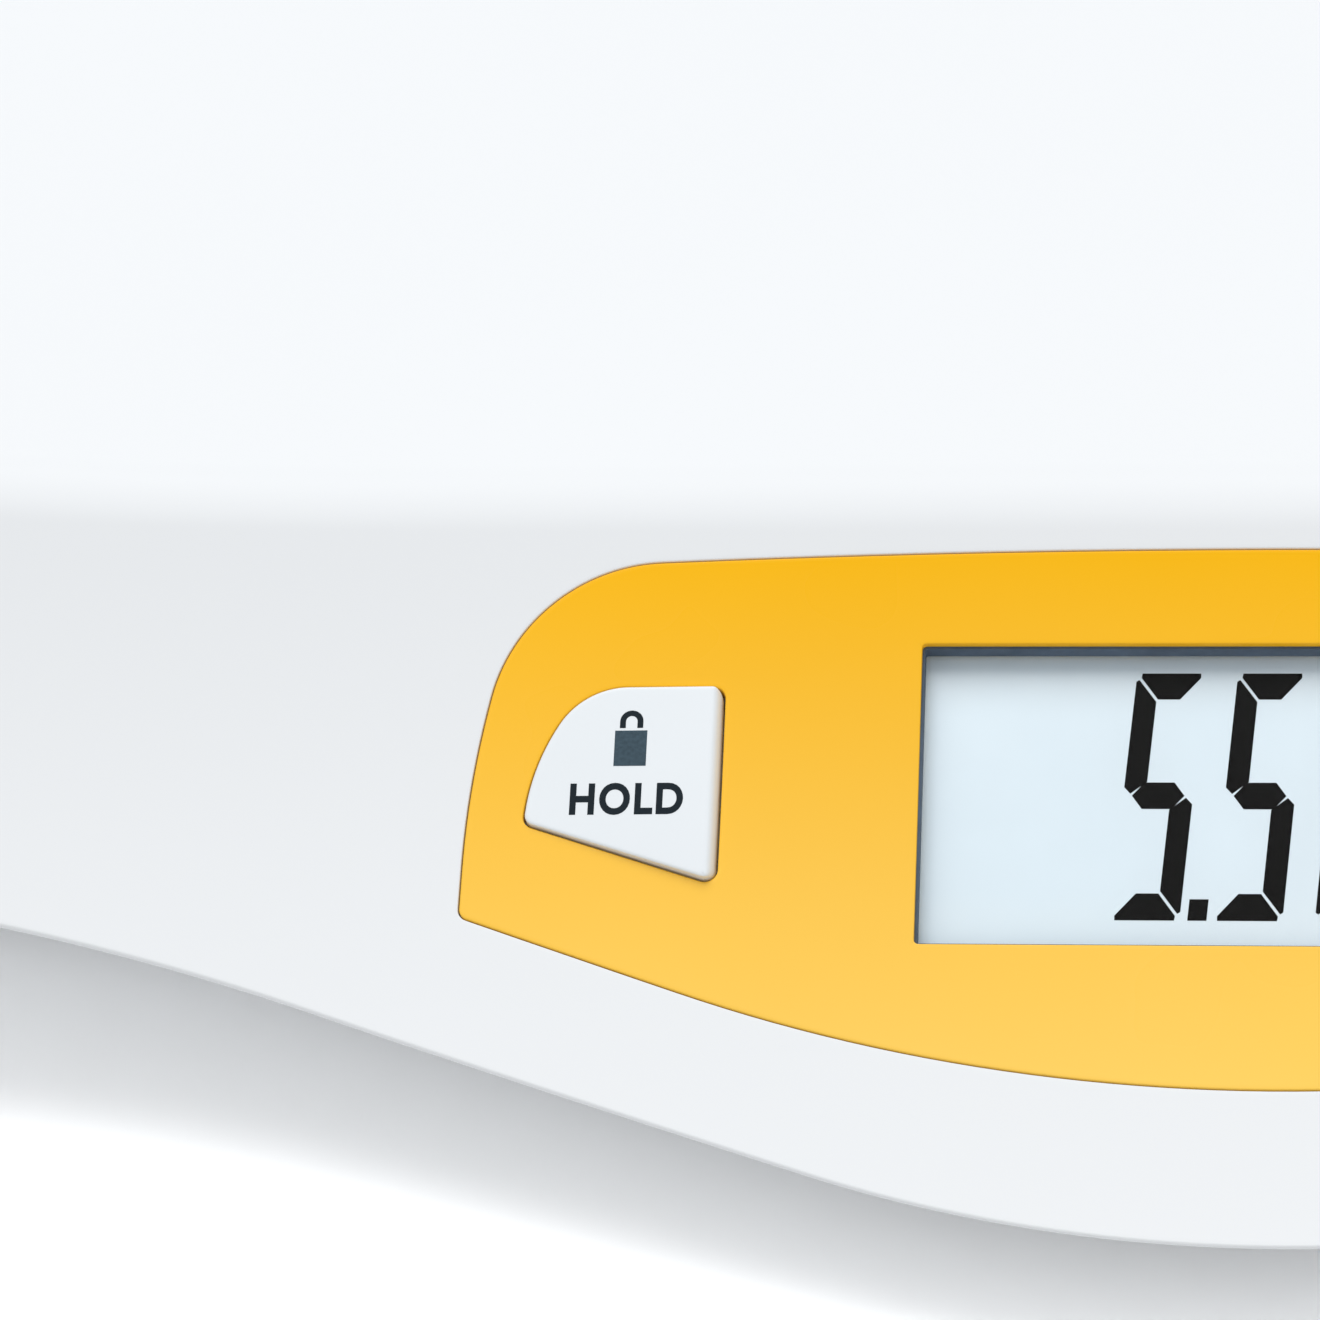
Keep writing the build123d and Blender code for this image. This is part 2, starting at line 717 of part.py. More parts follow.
for (x, y), name in zip(foot_places, ("front_left", "front_right", "back_left", "back_right")):
    with BuildPart() as pad:
        with BuildSketch():
            with Locations((x, y)):
                Circle(pad_radius)
        extrude(amount=pad_height)
        fillet(pad.edges().group_by(Axis.Z)[0], pad_round)
    pad.part.label = f"foot_pad_{name}"
    export_step(pad.part, f"parts/foot_pad_{name}.step")

    with BuildPart() as cup:
        with BuildSketch(Plane.XY.offset(cup_bottom)):
            with Locations((x, y)):
                Circle(cup_radius)
        extrude(amount=flange_top - cup_bottom)
        with BuildSketch(Plane.XY.offset(flange_bottom)):
            with Locations((x, y)):
                Circle(cup_radius + cup_flange)
        extrude(amount=cup_flange_height)
        with BuildSketch(Plane.XY.offset(pad_height + cup_floor)):
            with Locations((x, y)):
                Circle(cup_radius - cup_wall)
        extrude(amount=sky, mode=Mode.SUBTRACT)
        with BuildSketch(Plane.XY.offset(cup_bottom)):
            with Locations((x, y)):
                Circle(pad_radius)
        extrude(amount=pad_inset, mode=Mode.SUBTRACT)
        with BuildSketch(Plane.XY.offset(pad_height)):
            with Locations((x, y)):
                Circle(cup_boss_radius)
        extrude(amount=floor_top - moving_gap - pad_height)
    cup.part.label = f"foot_cup_{name}"
    export_step(cup.part, f"parts/foot_cup_{name}.step")

# --- Battery, its bay and its door -------------------------------------------------------------
door_top = ground_clearance + door_thickness
ledge_height = door_top + moving_gap
bay_length = battery_length + snap_thickness + 3 * bay_slack
bay_width = battery_width + 2 * bay_slack
bay_ceiling = ledge_height + battery_height + bay_slack
recess_length = bay_length + 2 * door_lap
recess_width = bay_width + 2 * door_lap
door_length = recess_length - 2 * moving_gap
door_width = recess_width - 2 * moving_gap
pin_x = bay_middle[0] - door_length / 2 + hinge_radius
pin_height = ground_clearance + hinge_radius
battery_start = bay_middle[0] - bay_length / 2 + bay_slack
terminal_x = battery_start + battery_length
battery_axis_height = ledge_height + battery_height / 2
terminal_plane = Plane(origin=(terminal_x, bay_middle[1], battery_axis_height),
                       x_dir=(0, 1, 0), z_dir=(1, 0, 0))

with BuildPart() as battery:
    with BuildSketch(terminal_plane.offset(-battery_length)):
        RectangleRounded(battery_width, battery_height, battery_round)
    extrude(amount=battery_length)
    with BuildSketch(terminal_plane):
        with Locations((-terminal_pitch / 2, 0)):
            Circle(stud_radius)
        with Locations((terminal_pitch / 2, 0)):
            RegularPolygon(socket_radius, 6)
    extrude(amount=terminal_height)
    with BuildSketch(terminal_plane.offset(terminal_height)):
        with Locations((terminal_pitch / 2, 0)):
            Circle(stud_radius)
    extrude(amount=-terminal_height, mode=Mode.SUBTRACT)
battery.part.label = "battery"
export_step(battery.part, "parts/battery.step")

with BuildPart() as battery_snap:
    with BuildSketch(terminal_plane.offset(slip_gap)):
        SlotCenterToCenter(terminal_pitch, 2 * (socket_radius + snap_rim))
    extrude(amount=snap_thickness)
    with BuildSketch(terminal_plane):
        with Locations((-terminal_pitch / 2, 0)):
            Circle(stud_radius + slip_gap)
        with Locations((terminal_pitch / 2, 0)):
            Circle(socket_radius + slip_gap)
    extrude(amount=terminal_height + slip_gap, mode=Mode.SUBTRACT)
battery_snap.part.label = "battery_snap"
export_step(battery_snap.part, "parts/battery_snap.step")

with BuildPart() as battery_door:
    with BuildSketch(Plane.XY.offset(ground_clearance)):
        with Locations((pin_x, bay_middle[1])):
            Rectangle(door_length - hinge_radius, door_width, align=(Align.MIN, Align.CENTER))
    extrude(amount=door_thickness)
    with BuildSketch(Plane.XZ.offset(-bay_middle[1])):
        with Locations((pin_x, pin_height)):
            Circle(hinge_radius)
    extrude(amount=door_width / 2, both=True)
    with BuildSketch(Plane.XZ.offset(-bay_middle[1])):
        with Locations((pin_x, pin_height)):
            Circle(pin_radius)
    extrude(amount=door_width / 2 + moving_gap + pin_reach, both=True)
battery_door.part.label = "battery_door"
export_step(battery_door.part, "parts/battery_door.step")

# --- Unit button -------------------------------------------------------------------------------
unit_flange_bottom = floor_top + moving_gap
unit_flange_top = unit_flange_bottom + key_flange_thickness
unit_stem_bottom = unit_flange_top + unit_post_rise
unit_switch_bottom = unit_stem_bottom + stem_rise
unit_board_bottom = unit_switch_bottom + switch_height
unit_posts = [(unit_place[0] + side * unit_post_offset, unit_place[1]) for side in (-1, 1)]

with BuildPart() as unit_button:
    with BuildSketch(Plane.XY.offset(ground_clearance + unit_recess)):
        with Locations(unit_place):
            Circle(unit_radius)
    extrude(amount=unit_flange_top - ground_clearance - unit_recess)
    with BuildSketch(Plane.XY.offset(unit_flange_bottom)):
        with Locations(unit_place):
            Circle(unit_radius + unit_flange)
    extrude(amount=key_flange_thickness)
    with BuildSketch(Plane.XY.offset(unit_flange_top)):
        with Locations(unit_place):
            Circle(key_post_radius)
    extrude(amount=unit_post_rise)
    fillet(unit_button.edges().group_by(Axis.Z)[0], key_edge_round)
unit_button.part.label = "unit_button"
export_step(unit_button.part, "parts/unit_button.step")

with BuildPart() as unit_stem:
    with BuildSketch(Plane.XY.offset(unit_stem_bottom)):
        with Locations(unit_place):
            Circle(stem_radius)
    extrude(amount=stem_rise + stem_hidden)
unit_stem.part.label = "unit_stem"
export_step(unit_stem.part, "parts/unit_stem.step")

with BuildPart() as unit_switch:
    with BuildSketch(Plane.XY.offset(unit_switch_bottom)):
        with Locations(unit_place):
            Rectangle(switch_size, switch_size)
    extrude(amount=switch_height)
    with BuildSketch(Plane.XY.offset(unit_switch_bottom)):
        with Locations(unit_place):
            Circle(switch_bore)
    extrude(amount=stem_hidden + unit_travel + stack_gap, mode=Mode.SUBTRACT)
unit_switch.part.label = "unit_switch"
export_step(unit_switch.part, "parts/unit_switch.step")

with BuildPart() as unit_board:
    with BuildSketch(Plane.XY.offset(unit_board_bottom)):
        with Locations(unit_place):
            Rectangle(unit_board_length, unit_board_width)
        with Locations(unit_posts):
            Circle(small_screw_radius + screw_gap, mode=Mode.SUBTRACT)
    extrude(amount=board_thickness)
unit_board.part.label = "unit_board"
export_step(unit_board.part, "parts/unit_board.step")

with BuildPart() as unit_screws:
    for x, y in unit_posts:
        with Locations(Location((x, y, unit_board_bottom + board_thickness), (180, 0, 0))):
            add(small_screw)
unit_screws.part.label = "unit_screws"
export_step(unit_screws.part, "parts/unit_screws.step")

# --- Base --------------------------------------------------------------------------------------
with BuildPart() as base_body:
    with BuildSketch(Plane.XY.offset(ground_clearance)):
        add(base_outline())
    extrude(amount=sky)
    fillet(base_body.edges().group_by(Axis.Z)[0], base_edge_round)

with BuildPart() as base_cavity:
    with BuildSketch(Plane.XY.offset(floor_top)):
        add(base_outline())
        offset(amount=-base_wall, mode=Mode.REPLACE)
    extrude(amount=sky)
    fillet(base_cavity.edges().group_by(Axis.Z)[0], base_edge_round - base_wall)

with BuildPart() as ledge_clearance:
    add(panel_prism(ledge_margin + seam_gap))
    add(tray_block(panel_thickness + bond_gap + ledge_wall + seam_gap), mode=Mode.SUBTRACT)

with BuildPart() as base_shell:
    add(base_body.part)
    add(base_cavity.part, mode=Mode.SUBTRACT)
    add(tray_block(tray_wall + seam_gap), mode=Mode.INTERSECT)
    add(ledge_clearance.part, mode=Mode.SUBTRACT)
    # Posts for the screws, wells for the load cells, the battery bay and posts for the unit board
    with BuildSketch(Plane.XY.offset(ground_clearance)):
        with Locations(both_sides(boss_places)):
            Circle(boss_radius)
    extrude(amount=boss_split - ground_clearance)
    with BuildSketch(Plane.XY.offset(floor_top)):
        with Locations(foot_places):
            Rectangle(cell_size + 2 * (well_gap + well_wall), cell_size + 2 * (well_gap + well_wall))
    extrude(amount=well_height)
    with BuildSketch(Plane.XY.offset(floor_top)):
        with Locations(foot_places):
            Rectangle(cell_size + 2 * well_gap, cell_size + 2 * well_gap)
    extrude(amount=well_height, mode=Mode.SUBTRACT)
    with BuildSketch(Plane.XY.offset(cell_top + stack_gap)):
        with Locations(foot_places):
            with GridLocations(cell_size + well_wall - hook_reach, 1, 2, 1):
                Rectangle(hook_reach + well_gap + well_wall, hook_length)
    extrude(amount=floor_top + well_height - cell_top - stack_gap)
    with BuildSketch(Plane.XY.offset(ground_clearance)):
        with Locations(bay_middle):
            Rectangle(recess_length + 2 * bay_wall, recess_width + 2 * bay_wall)
    extrude(amount=ledge_height + bay_wall - ground_clearance)
    with BuildSketch(Plane.XY.offset(ledge_height)):
        with Locations(bay_middle):
            Rectangle(bay_length + 2 * bay_wall, bay_width + 2 * bay_wall)
    extrude(amount=bay_ceiling + bay_wall - ledge_height)
    with BuildSketch(Plane.XY.offset(floor_top)):
        with Locations(unit_posts):
            Circle(post_radius)
    extrude(amount=unit_board_bottom - floor_top)
    # Openings
    with BuildSketch(Plane.XY.offset(ground_clearance)):
        with Locations(foot_places):
            Circle(cup_radius + 2 * slip_gap)
        with Locations(unit_place):
            Circle(unit_radius + key_gap)
        with Locations(both_sides(boss_places)):
            Circle(screw_radius + screw_gap)
    extrude(amount=sky, mode=Mode.SUBTRACT)
    with BuildSketch(Plane.XY.offset(lip_top)):
        with Locations(foot_places):
            Circle(cup_radius + cup_flange + 2 * slip_gap)
    extrude(amount=base_wall, mode=Mode.SUBTRACT)
    with BuildSketch(Plane.XY.offset(ground_clearance)):
        with Locations(both_sides(boss_places)):
            Circle(screw_head_radius + screw_gap)
    extrude(amount=head_seat - ground_clearance, mode=Mode.SUBTRACT)
    with BuildSketch(Plane.XY.offset(unit_board_bottom)):
        with Locations(unit_posts):
            Circle(small_screw_radius - screw_bite)
    extrude(amount=-small_screw_length, mode=Mode.SUBTRACT)
    with BuildSketch(Plane.XY.offset(ground_clearance)):
        with Locations(bay_middle):
            Rectangle(recess_length, recess_width)
    extrude(amount=ledge_height - ground_clearance, mode=Mode.SUBTRACT)
    with BuildSketch(Plane.XY.offset(ledge_height)):
        with Locations(bay_middle):
            Rectangle(bay_length, bay_width)
    extrude(amount=bay_ceiling - ledge_height, mode=Mode.SUBTRACT)
    with BuildSketch(Plane.XZ.offset(-bay_middle[1])):
        with Locations((pin_x, pin_height)):
            Circle(hinge_radius + moving_gap)
    extrude(amount=recess_width / 2, both=True, mode=Mode.SUBTRACT)
    with BuildSketch(Plane.XZ.offset(-bay_middle[1])):
        with Locations((pin_x, pin_height)):
            Circle(pin_radius + moving_gap)
    extrude(amount=recess_width / 2 + pin_reach + moving_gap, both=True, mode=Mode.SUBTRACT)
    with BuildSketch(Plane.XY.offset(ground_clearance)):
        with Locations((bay_middle[0] + recess_length / 2, bay_middle[1])):
            Circle(finger_radius)
            Rectangle(2 * finger_radius, 2 * finger_radius, mode=Mode.INTERSECT,
                      align=(Align.MIN, Align.CENTER))
    extrude(amount=base_wall / 2, mode=Mode.SUBTRACT)
base_shell.part.label = "base_shell"
export_step(base_shell.part, "parts/base_shell.step")
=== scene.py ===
"""Digital baby weighing scale: the visible surfaces of its tray, control panel, keys and display,
built round the scale's frame, with the finish of every part."""

from math import acos, asin, atan2, ceil, copysign, cos, pi, radians, sin, sqrt, tan

import bmesh
import bpy
from mathutils import Matrix, Vector


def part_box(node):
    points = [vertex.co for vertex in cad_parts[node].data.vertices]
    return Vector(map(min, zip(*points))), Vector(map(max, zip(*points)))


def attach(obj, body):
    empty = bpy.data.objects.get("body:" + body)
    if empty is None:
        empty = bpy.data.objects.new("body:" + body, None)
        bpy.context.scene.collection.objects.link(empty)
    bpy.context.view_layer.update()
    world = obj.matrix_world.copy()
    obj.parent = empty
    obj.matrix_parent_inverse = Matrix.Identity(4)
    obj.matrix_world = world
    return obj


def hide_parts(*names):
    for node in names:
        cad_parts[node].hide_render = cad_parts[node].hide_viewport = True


bl_info = {
    "name": "Digital baby weighing scale",
    "version": (1, 0, 0),
    "blender": (4, 5, 0),
    "location": "View3D > Sidebar > Baby scale",
    "description": "Builds the tray, control panel, keys and display of a baby weighing scale",
    "category": "Add Mesh",
}

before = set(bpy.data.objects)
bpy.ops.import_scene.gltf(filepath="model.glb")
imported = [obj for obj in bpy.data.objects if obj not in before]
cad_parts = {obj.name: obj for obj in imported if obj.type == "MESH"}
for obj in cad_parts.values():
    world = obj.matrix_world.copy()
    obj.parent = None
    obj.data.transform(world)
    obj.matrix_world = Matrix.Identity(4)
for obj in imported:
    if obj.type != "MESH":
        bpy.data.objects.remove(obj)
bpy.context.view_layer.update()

MM = 0.001
TOUCH = 2e-6  # vertices closer than this are one
EASE = 0.35 * MM  # strip of true surface beside a rounded edge
BOSSES = ((0.1, -0.103), (0.163, 0.01), (0.062, 0.124))  # at the right, under the tray
POSTS = ((0.048, -0.017), (0.064, 0.0172))  # at the right, under the panel
STEM = (0.0665, 0.002)  # of the switch under the right key
WING_RIBS = (-1.5, -0.5, 0.5, 1.5)  # rows under each wing, in pitches from the middle


# --- Properties --------------------------------------------------------------------------------
def length(name, description, millimetres):
    return bpy.props.FloatProperty(
        name=name, description=description, default=millimetres * MM, unit="LENGTH", precision=5)


def angle(name, description, degrees):
    return bpy.props.FloatProperty(
        name=name, description=description, default=radians(degrees), unit="ROTATION")


def share(name, description, value):
    return bpy.props.FloatProperty(
        name=name, description=description, default=value, min=0.0, max=1.0, subtype="FACTOR",
        precision=4)


def colour(name, description, value):
    return bpy.props.FloatVectorProperty(
        name=name, description=description, default=value, min=0.0, max=1.0, subtype="COLOR")


class TraySizes(bpy.types.PropertyGroup):
    half_width: length("Half width", "From the middle to the side edge", 275)
    half_depth: length("Half depth", "From the middle to the front or back edge", 167.5)
    bulge_share: share("Bulge", "Radius of the front bulge, as a share of the widest bend", 0.3658)
    hollow_share: share("Hollow", "Radius of the hollow beside the bulge, as such a share", 0.5311)
    flank_setback: length("Flank setback", "Of the straight front beside the bulge", 35.1)
    flank_length: length("Flank length", "Of the straight front beside the bulge", 24.8)
    front_corner: length("Front corner", "Radius of the front corners", 80)
    side_bow: angle("Side bow", "Half the turn of each side", 12)
    back_corner: length("Back corner", "Radius of the back corners", 92)
    back_bow: angle("Back bow", "Half the turn of the back", 4)
    lip_height: length("Lip height", "Top of the front edge in the middle", 14)
    lip_slope: angle("Lip slope", "Slope of the apron at the front edge", 12)
    apron_radius: length("Apron radius", "Of the hollow apron in front of the crest", 240)
    crest_slope: angle("Crest slope", "Slope of the apron at the crest", 31)
    crest_radius: length("Crest radius", "Of the soft crest behind the panel", 14)
    bowl_slope: angle("Bowl slope", "Slope of the bowl at both ends", 7)
    rise_slope: angle("Rise slope", "Slope where the bowl meets the back rim", 24)
    rise_radius: length("Rise radius", "Of the bowl's rise towards the back", 150)
    back_crest_radius: length("Back crest radius", "Of the crest at the back", 15)
    back_rim_slope: angle("Back rim slope", "Fall of the flat rim at the back", 15)
    back_rim_width: length("Back rim width", "Depth of the flat rim at the back", 24)
    bend_height: length("Bend height", "Height at which the bend of the wings is measured", 41)
    bend_radius: length("Bend radius", "Of the wings", 550)
    half_straight: length("Half straight", "Half length of the straight middle", 90)
    wall: length("Wall", "Thickness of the moulding", 2.5)
    lip_round: length("Lip round", "Radius along the tray's edge", 0.22)
    lip_chamfer: length("Lip chamfer", "Under the tray's edge", 2.2)
    rib_height: length("Rib height", "Under the moulding", 4)
    rib_width: length("Rib width", "Thickness of a rib", 1.8)
    rim_rib_inset: length("Rim rib inset", "From the tray's edge to the rib under it", 5.5)
    wing_rib_pitch: length("Wing rib pitch", "Between the ribs under a wing", 56)
    wing_rib_start: length("Wing rib start", "From the middle to where the wing ribs start", 178.4)
    rib_search: length("Rib search", "How far beside a wing rib its end is looked for", 6)
    boss_radius: length("Boss radius", "Of the bosses that take the housing screws", 5)
    boss_bore: length("Boss bore", "Radius of the holes in them", 1.35)
    boss_foot: length("Boss foot", "Height of their lower ends", 21)
    body_colour: colour("Tray", "Glossy white moulding", (0.84, 0.858, 0.875))


class PanelSizes(bpy.types.PropertyGroup):
    setback: length("Setback", "Of the display's middle behind the front edge", 47.75)
    thickness: length("Thickness", "Of the panel", 1.9)
    half_width: length("Half width", "Of the panel", 83.1)
    bottom: length("Bottom", "Of the panel, up the slope from the display's middle", -32.7)
    bottom_radius: length("Bottom radius", "Of the panel's lower edge", 178)
    bottom_angle: angle("Bottom angle", "Half the turn of the lower edge", 19.7)
    bottom_corner: length("Bottom corner", "Radius of the lower corners", 1.2)
    least_corner: length("Least corner", "Radius they keep in a smaller outline", 0.1)
    side_start: length("Side start", "Where the straight side ends", -9)
    side_radius: length("Side radius", "Of the side above it", 100)
    side_angle: angle("Side angle", "Turn of that side", 11.5)
    corner_radius: length("Corner radius", "Of the upper corners", 18.5)
    corner_angle: angle("Corner angle", "Turn of the upper corners", 76.1)
    gap: length("Gap", "Between the panel and its recess", 0.15)
    edge_round: length("Edge round", "Along the panel's edges and openings", 0.15)
    bond_gap: length("Bond gap", "Under the panel", 0.1)
    ledge_width: length("Ledge width", "Of the ledge that carries the panel", 4)
    ledge_margin: length("Ledge margin", "Of the recess's wall round the panel", 3)
    ledge_wall: length("Ledge wall", "Thickness of the ledge", 2.5)
    window_width: length("Window width", "Of the display's opening", 72)
    window_height: length("Window height", "Of the display's opening", 33.5)
    window_round: length("Window round", "Radius of its corners", 0.5)
    window_depth: length("Window depth", "Of the lens under the panel's plane", 2)
    seat_width: length("Seat width", "Of the frame behind the opening", 81.6)
    seat_height: length("Seat height", "Of the frame behind the opening", 40.6)
    seat_round: length("Seat round", "Radius of that frame's corners", 1.6)
    post_length: length("Post length", "Depth of the board under the panel's plane", 8.6)
    post_radius: length("Post radius", "Of the posts that carry the board", 2.6)
    post_bore: length("Post bore", "Radius of their screw holes", 0.85)
    # The panel's yellow fades from the lower colour to the upper one up to this height. The fade is
    # painted light: a painted reflection low on the panel and painted shade at its steep top.
    painted_sheen_top: length("Colour top", "Where the upper yellow is reached, up the slope", 28)
    upper_colour: colour("Upper yellow", "The panel's colour at its top", (1.0, 0.509, 0.0))
    painted_sheen_colour: colour("Lower yellow", "The panel's colour at its bottom", (1.0, 0.625, 0.1))


class KeySizes(bpy.types.PropertyGroup):
    inner: length("Inner side", "Distance of the straight side from the middle", 56.7)
    top: length("Top", "Of the key, above the display's middle", 11.7)
    top_run: length("Top run", "Length of the straight top", 9.9)
    corner_radius: length("Corner radius", "Of the outer corner", 8.2)
    corner_angle: angle("Corner angle", "Turn of that corner", 60)
    flank_radius: length("Flank radius", "Below that corner", 24)
    bottom: length("Bottom", "Lower end of the straight side", -10.1)
    bottom_slope: angle("Bottom slope", "Rise of the lower edge", 18.2)
    edge_round: length("Corner round", "Of the small corners", 1.1)
    gap: length("Gap", "Round the key in the panel", 0.25)
    rise: length("Rise", "Of the straight side above the panel's plane", 1.15)
    tilt: angle("Tilt", "Lean of the face towards the panel's end", 1.8)
    inner_roll: length("Inner roll", "Of the face's edge along the straight side", 1.0)
    inner_drop: length("Inner drop", "Depth to which that edge rolls over", 2.0)
    outer_roll: length("Outer roll", "Of the face's other edges", 0.3)
    flange_grow: length("Flange", "Reach of the flange under the panel", 1.2)
    flange_depth: length("Flange depth", "Of its top under the panel's plane", 2.3)
    flange_thickness: length("Flange thickness", "Of the flange", 1.0)
    wall: length("Wall", "Thickness of the key's wall", 1.4)
    ceiling_depth: length("Ceiling depth", "Of the hollow's top under the panel's plane", 0.9)
    post_radius: length("Post radius", "Of the post that presses the switch", 2.4)
    post_foot: length("Post foot", "Depth of its end under the panel's plane", 4.2)
    ink: length("Print", "Height of the printed marks", 0.02)
    text_width: length("Text width", "Width of a word", 11.9)
    text_height: length("Text height", "Height of the left key's word", 3.6)
    long_text_height: length("Long text height", "Height of the right key's word", 2.88)
    text_middle: length("Text middle", "Of the words, from the middle of the panel", 66.25)
    text_level: length("Text level", "Of the words, above the display's middle", -1.0)
    mark_middle: length("Mark middle", "Of the marks, from the middle of the panel", 66.1)
    lock_level: length("Lock level", "Of the padlock, above the display's middle", 4.7)
    lock_width: length("Lock width", "Of the padlock's body", 3.4)
    lock_height: length("Lock height", "Of the padlock's body", 4.0)
    power_level: length("Power level", "Of the power mark's ring, likewise", 5.6)
    body_colour: colour("Key", "Satin light grey", (0.80, 0.84, 0.87))
    ink_colour: colour("Ink", "Near black print", (0.006, 0.012, 0.017))
    slate_colour: colour("Slate", "Dark slate print", (0.040, 0.066, 0.086))


class DisplaySizes(bpy.types.PropertyGroup):
    glass_depth: length("Glass depth", "Of the glass under the panel's plane", 2.85)
    first_digit: length("First digit", "Left edge of the first digit", -16.3)
    digit_bottom: length("Digit bottom", "Lower edge of the digits", -12.75)
    digit_width: length("Digit width", "Of one digit", 7.18)
    digit_height: length("Digit height", "Of one digit", 27.6)
    digit_pitch: length("Digit pitch", "Between two digits", 10.46)
    digit_slant: angle("Digit slant", "Lean of the digits to the right", 5.45)
    bar_height: length("Bar height", "Of a segment that lies", 2.95)
    bar_width: length("Bar width", "Of a segment that stands", 2.3)
    bar_gap: length("Bar gap", "Between two segments", 0.28)
    bar_nip: length("Bar nip", "Bevel at the outer corners of a digit", 0.5)
    bar_thickness: length("Bar thickness", "Of the printed segments", 0.02)
    point_size: length("Point size", "Of the decimal point", 1.95)
    point_gap: length("Point gap", "Between a digit and the point after it", 0.8)
    unit_width: length("Unit width", "Of the unit after the digits", 5.2)
    unit_height: length("Unit height", "Of the unit", 4.6)
    unit_shift: length("Unit shift", "From the last digit's pitch to the unit's middle", 4.2)
    unit_level: length("Unit level", "Of the unit's middle above the digits' foot", 2.6)
    lift: length("Lift", "Of the print above the glass", 0.005)
    value: bpy.props.StringProperty(
        name="Value", description="Digits that the display shows, in kilograms", default="5.560")
    # The dark lining round the window is painted shade: a dark band on the wall of the window's
    # recess, where that recess lies in shade.
    shade_lining_gap: length("Seal gap", "Between the window's wall and its seal", 0.01)
    shade_lining_width: length("Seal width", "From the window's wall to its inner side", 0.3)
    shade_lining_height: length("Seal height", "Of the seal round the window", 1.84)
    shade_lining_colour: colour("Seal", "Dark slate rubber", (0.05, 0.075, 0.11))
    face_colour: colour("Display", "Pale blue of the display", (0.80, 0.90, 0.955))
    segment_colour: colour("Segments", "Near black of the digits", (0.005, 0.0048, 0.0046))


class StageLook(bpy.types.PropertyGroup):
    camera_place: bpy.props.FloatVectorProperty(
        name="Camera place", description="Where the camera stands",
        default=(0.0, -0.509301, 0.398883), subtype="TRANSLATION", unit="LENGTH")
    camera_heading: bpy.props.FloatVectorProperty(
        name="Camera heading", description="Direction in which the camera looks",
        default=(-0.11634615, 0.73809793, -0.66458636), subtype="DIRECTION")
    camera_lens: bpy.props.FloatProperty(
        name="Lens", description="Focal length in millimetres for a 36 mm sensor",
        default=36.0 * 5200.0 / 1320.0, min=1.0)
    floor_size: length("Floor", "Width of the floor", 6000)
    floor_colour: colour("Floor", "Plain pale floor", (0.90, 0.90, 0.90))
    floor_gain: bpy.props.FloatProperty(
        name="Floor gain", description="How much paler the floor shows than its colour",
        default=1.85, min=0.0)
    far_start: length("Far start", "From where on the floor gets paler", 800)
    far_end: length("Far end", "From where on it is palest", 2400)
    key_power: bpy.props.FloatProperty(
        name="Key light", description="Watts of the light from above", default=46.0, min=0.0)
    fill_power: bpy.props.FloatProperty(
        name="Front light", description="Watts of the light in front", default=5.0, min=0.0)
    sky_colour: colour("Sky colour", "Of the light from all round", (0.97, 0.985, 1.0))
    sky_level: bpy.props.FloatProperty(
        name="Sky", description="Level of the light from all round", default=0.49, min=0.0)


# --- Meshes ------------------------------------------------------------------------------------
class Trace:
    """A chain of edges drawn with a heading, anticlockwise round the outline of a piece.

    `grow` moves the whole chain outwards, and the number of steps in an arc doesn't depend on it.
    """
    FINENESS = 0.000005  # how far an arc's steps may lie from the arc

    def __init__(self, mesh, start, heading, grow=0.0):
        self.mesh, self.grow = mesh, grow
        self.heading = Vector(heading).normalized()
        outward = Vector((self.heading.y, -self.heading.x, 0))
        self.tip = mesh.verts.new(Vector(start) + outward * grow)
        self.verts = [self.tip]

    def line(self, run):
        self.tip = bmesh.ops.extrude_vert_indiv(self.mesh, verts=[self.tip])["verts"][0]
        self.tip.co += self.heading * run
        self.verts.append(self.tip)
        return self

    def arc(self, radius, turn):
        steps = max(2, ceil(abs(turn) / sqrt(8 * self.FINENESS / radius)))
        side = copysign(1, turn)
        centre = self.tip.co + Vector((-self.heading.y, self.heading.x, 0)) * (
            side * (radius + side * self.grow))
        before = len(self.mesh.verts)
        made = bmesh.ops.spin(
            self.mesh, geom=[self.tip], cent=centre, axis=(0, 0, 1), dvec=(0, 0, 0), angle=turn,
            steps=steps, use_merge=False, use_normal_flip=False, use_duplicate=False)
        self.mesh.verts.ensure_lookup_table()
        self.verts += [self.mesh.verts[i] for i in range(before, len(self.mesh.verts))]
        self.tip = [part for part in made["geom_last"] if isinstance(part, bmesh.types.BMVert)][0]
        self.heading.rotate(Matrix.Rotation(turn, 3, "Z"))
        return self


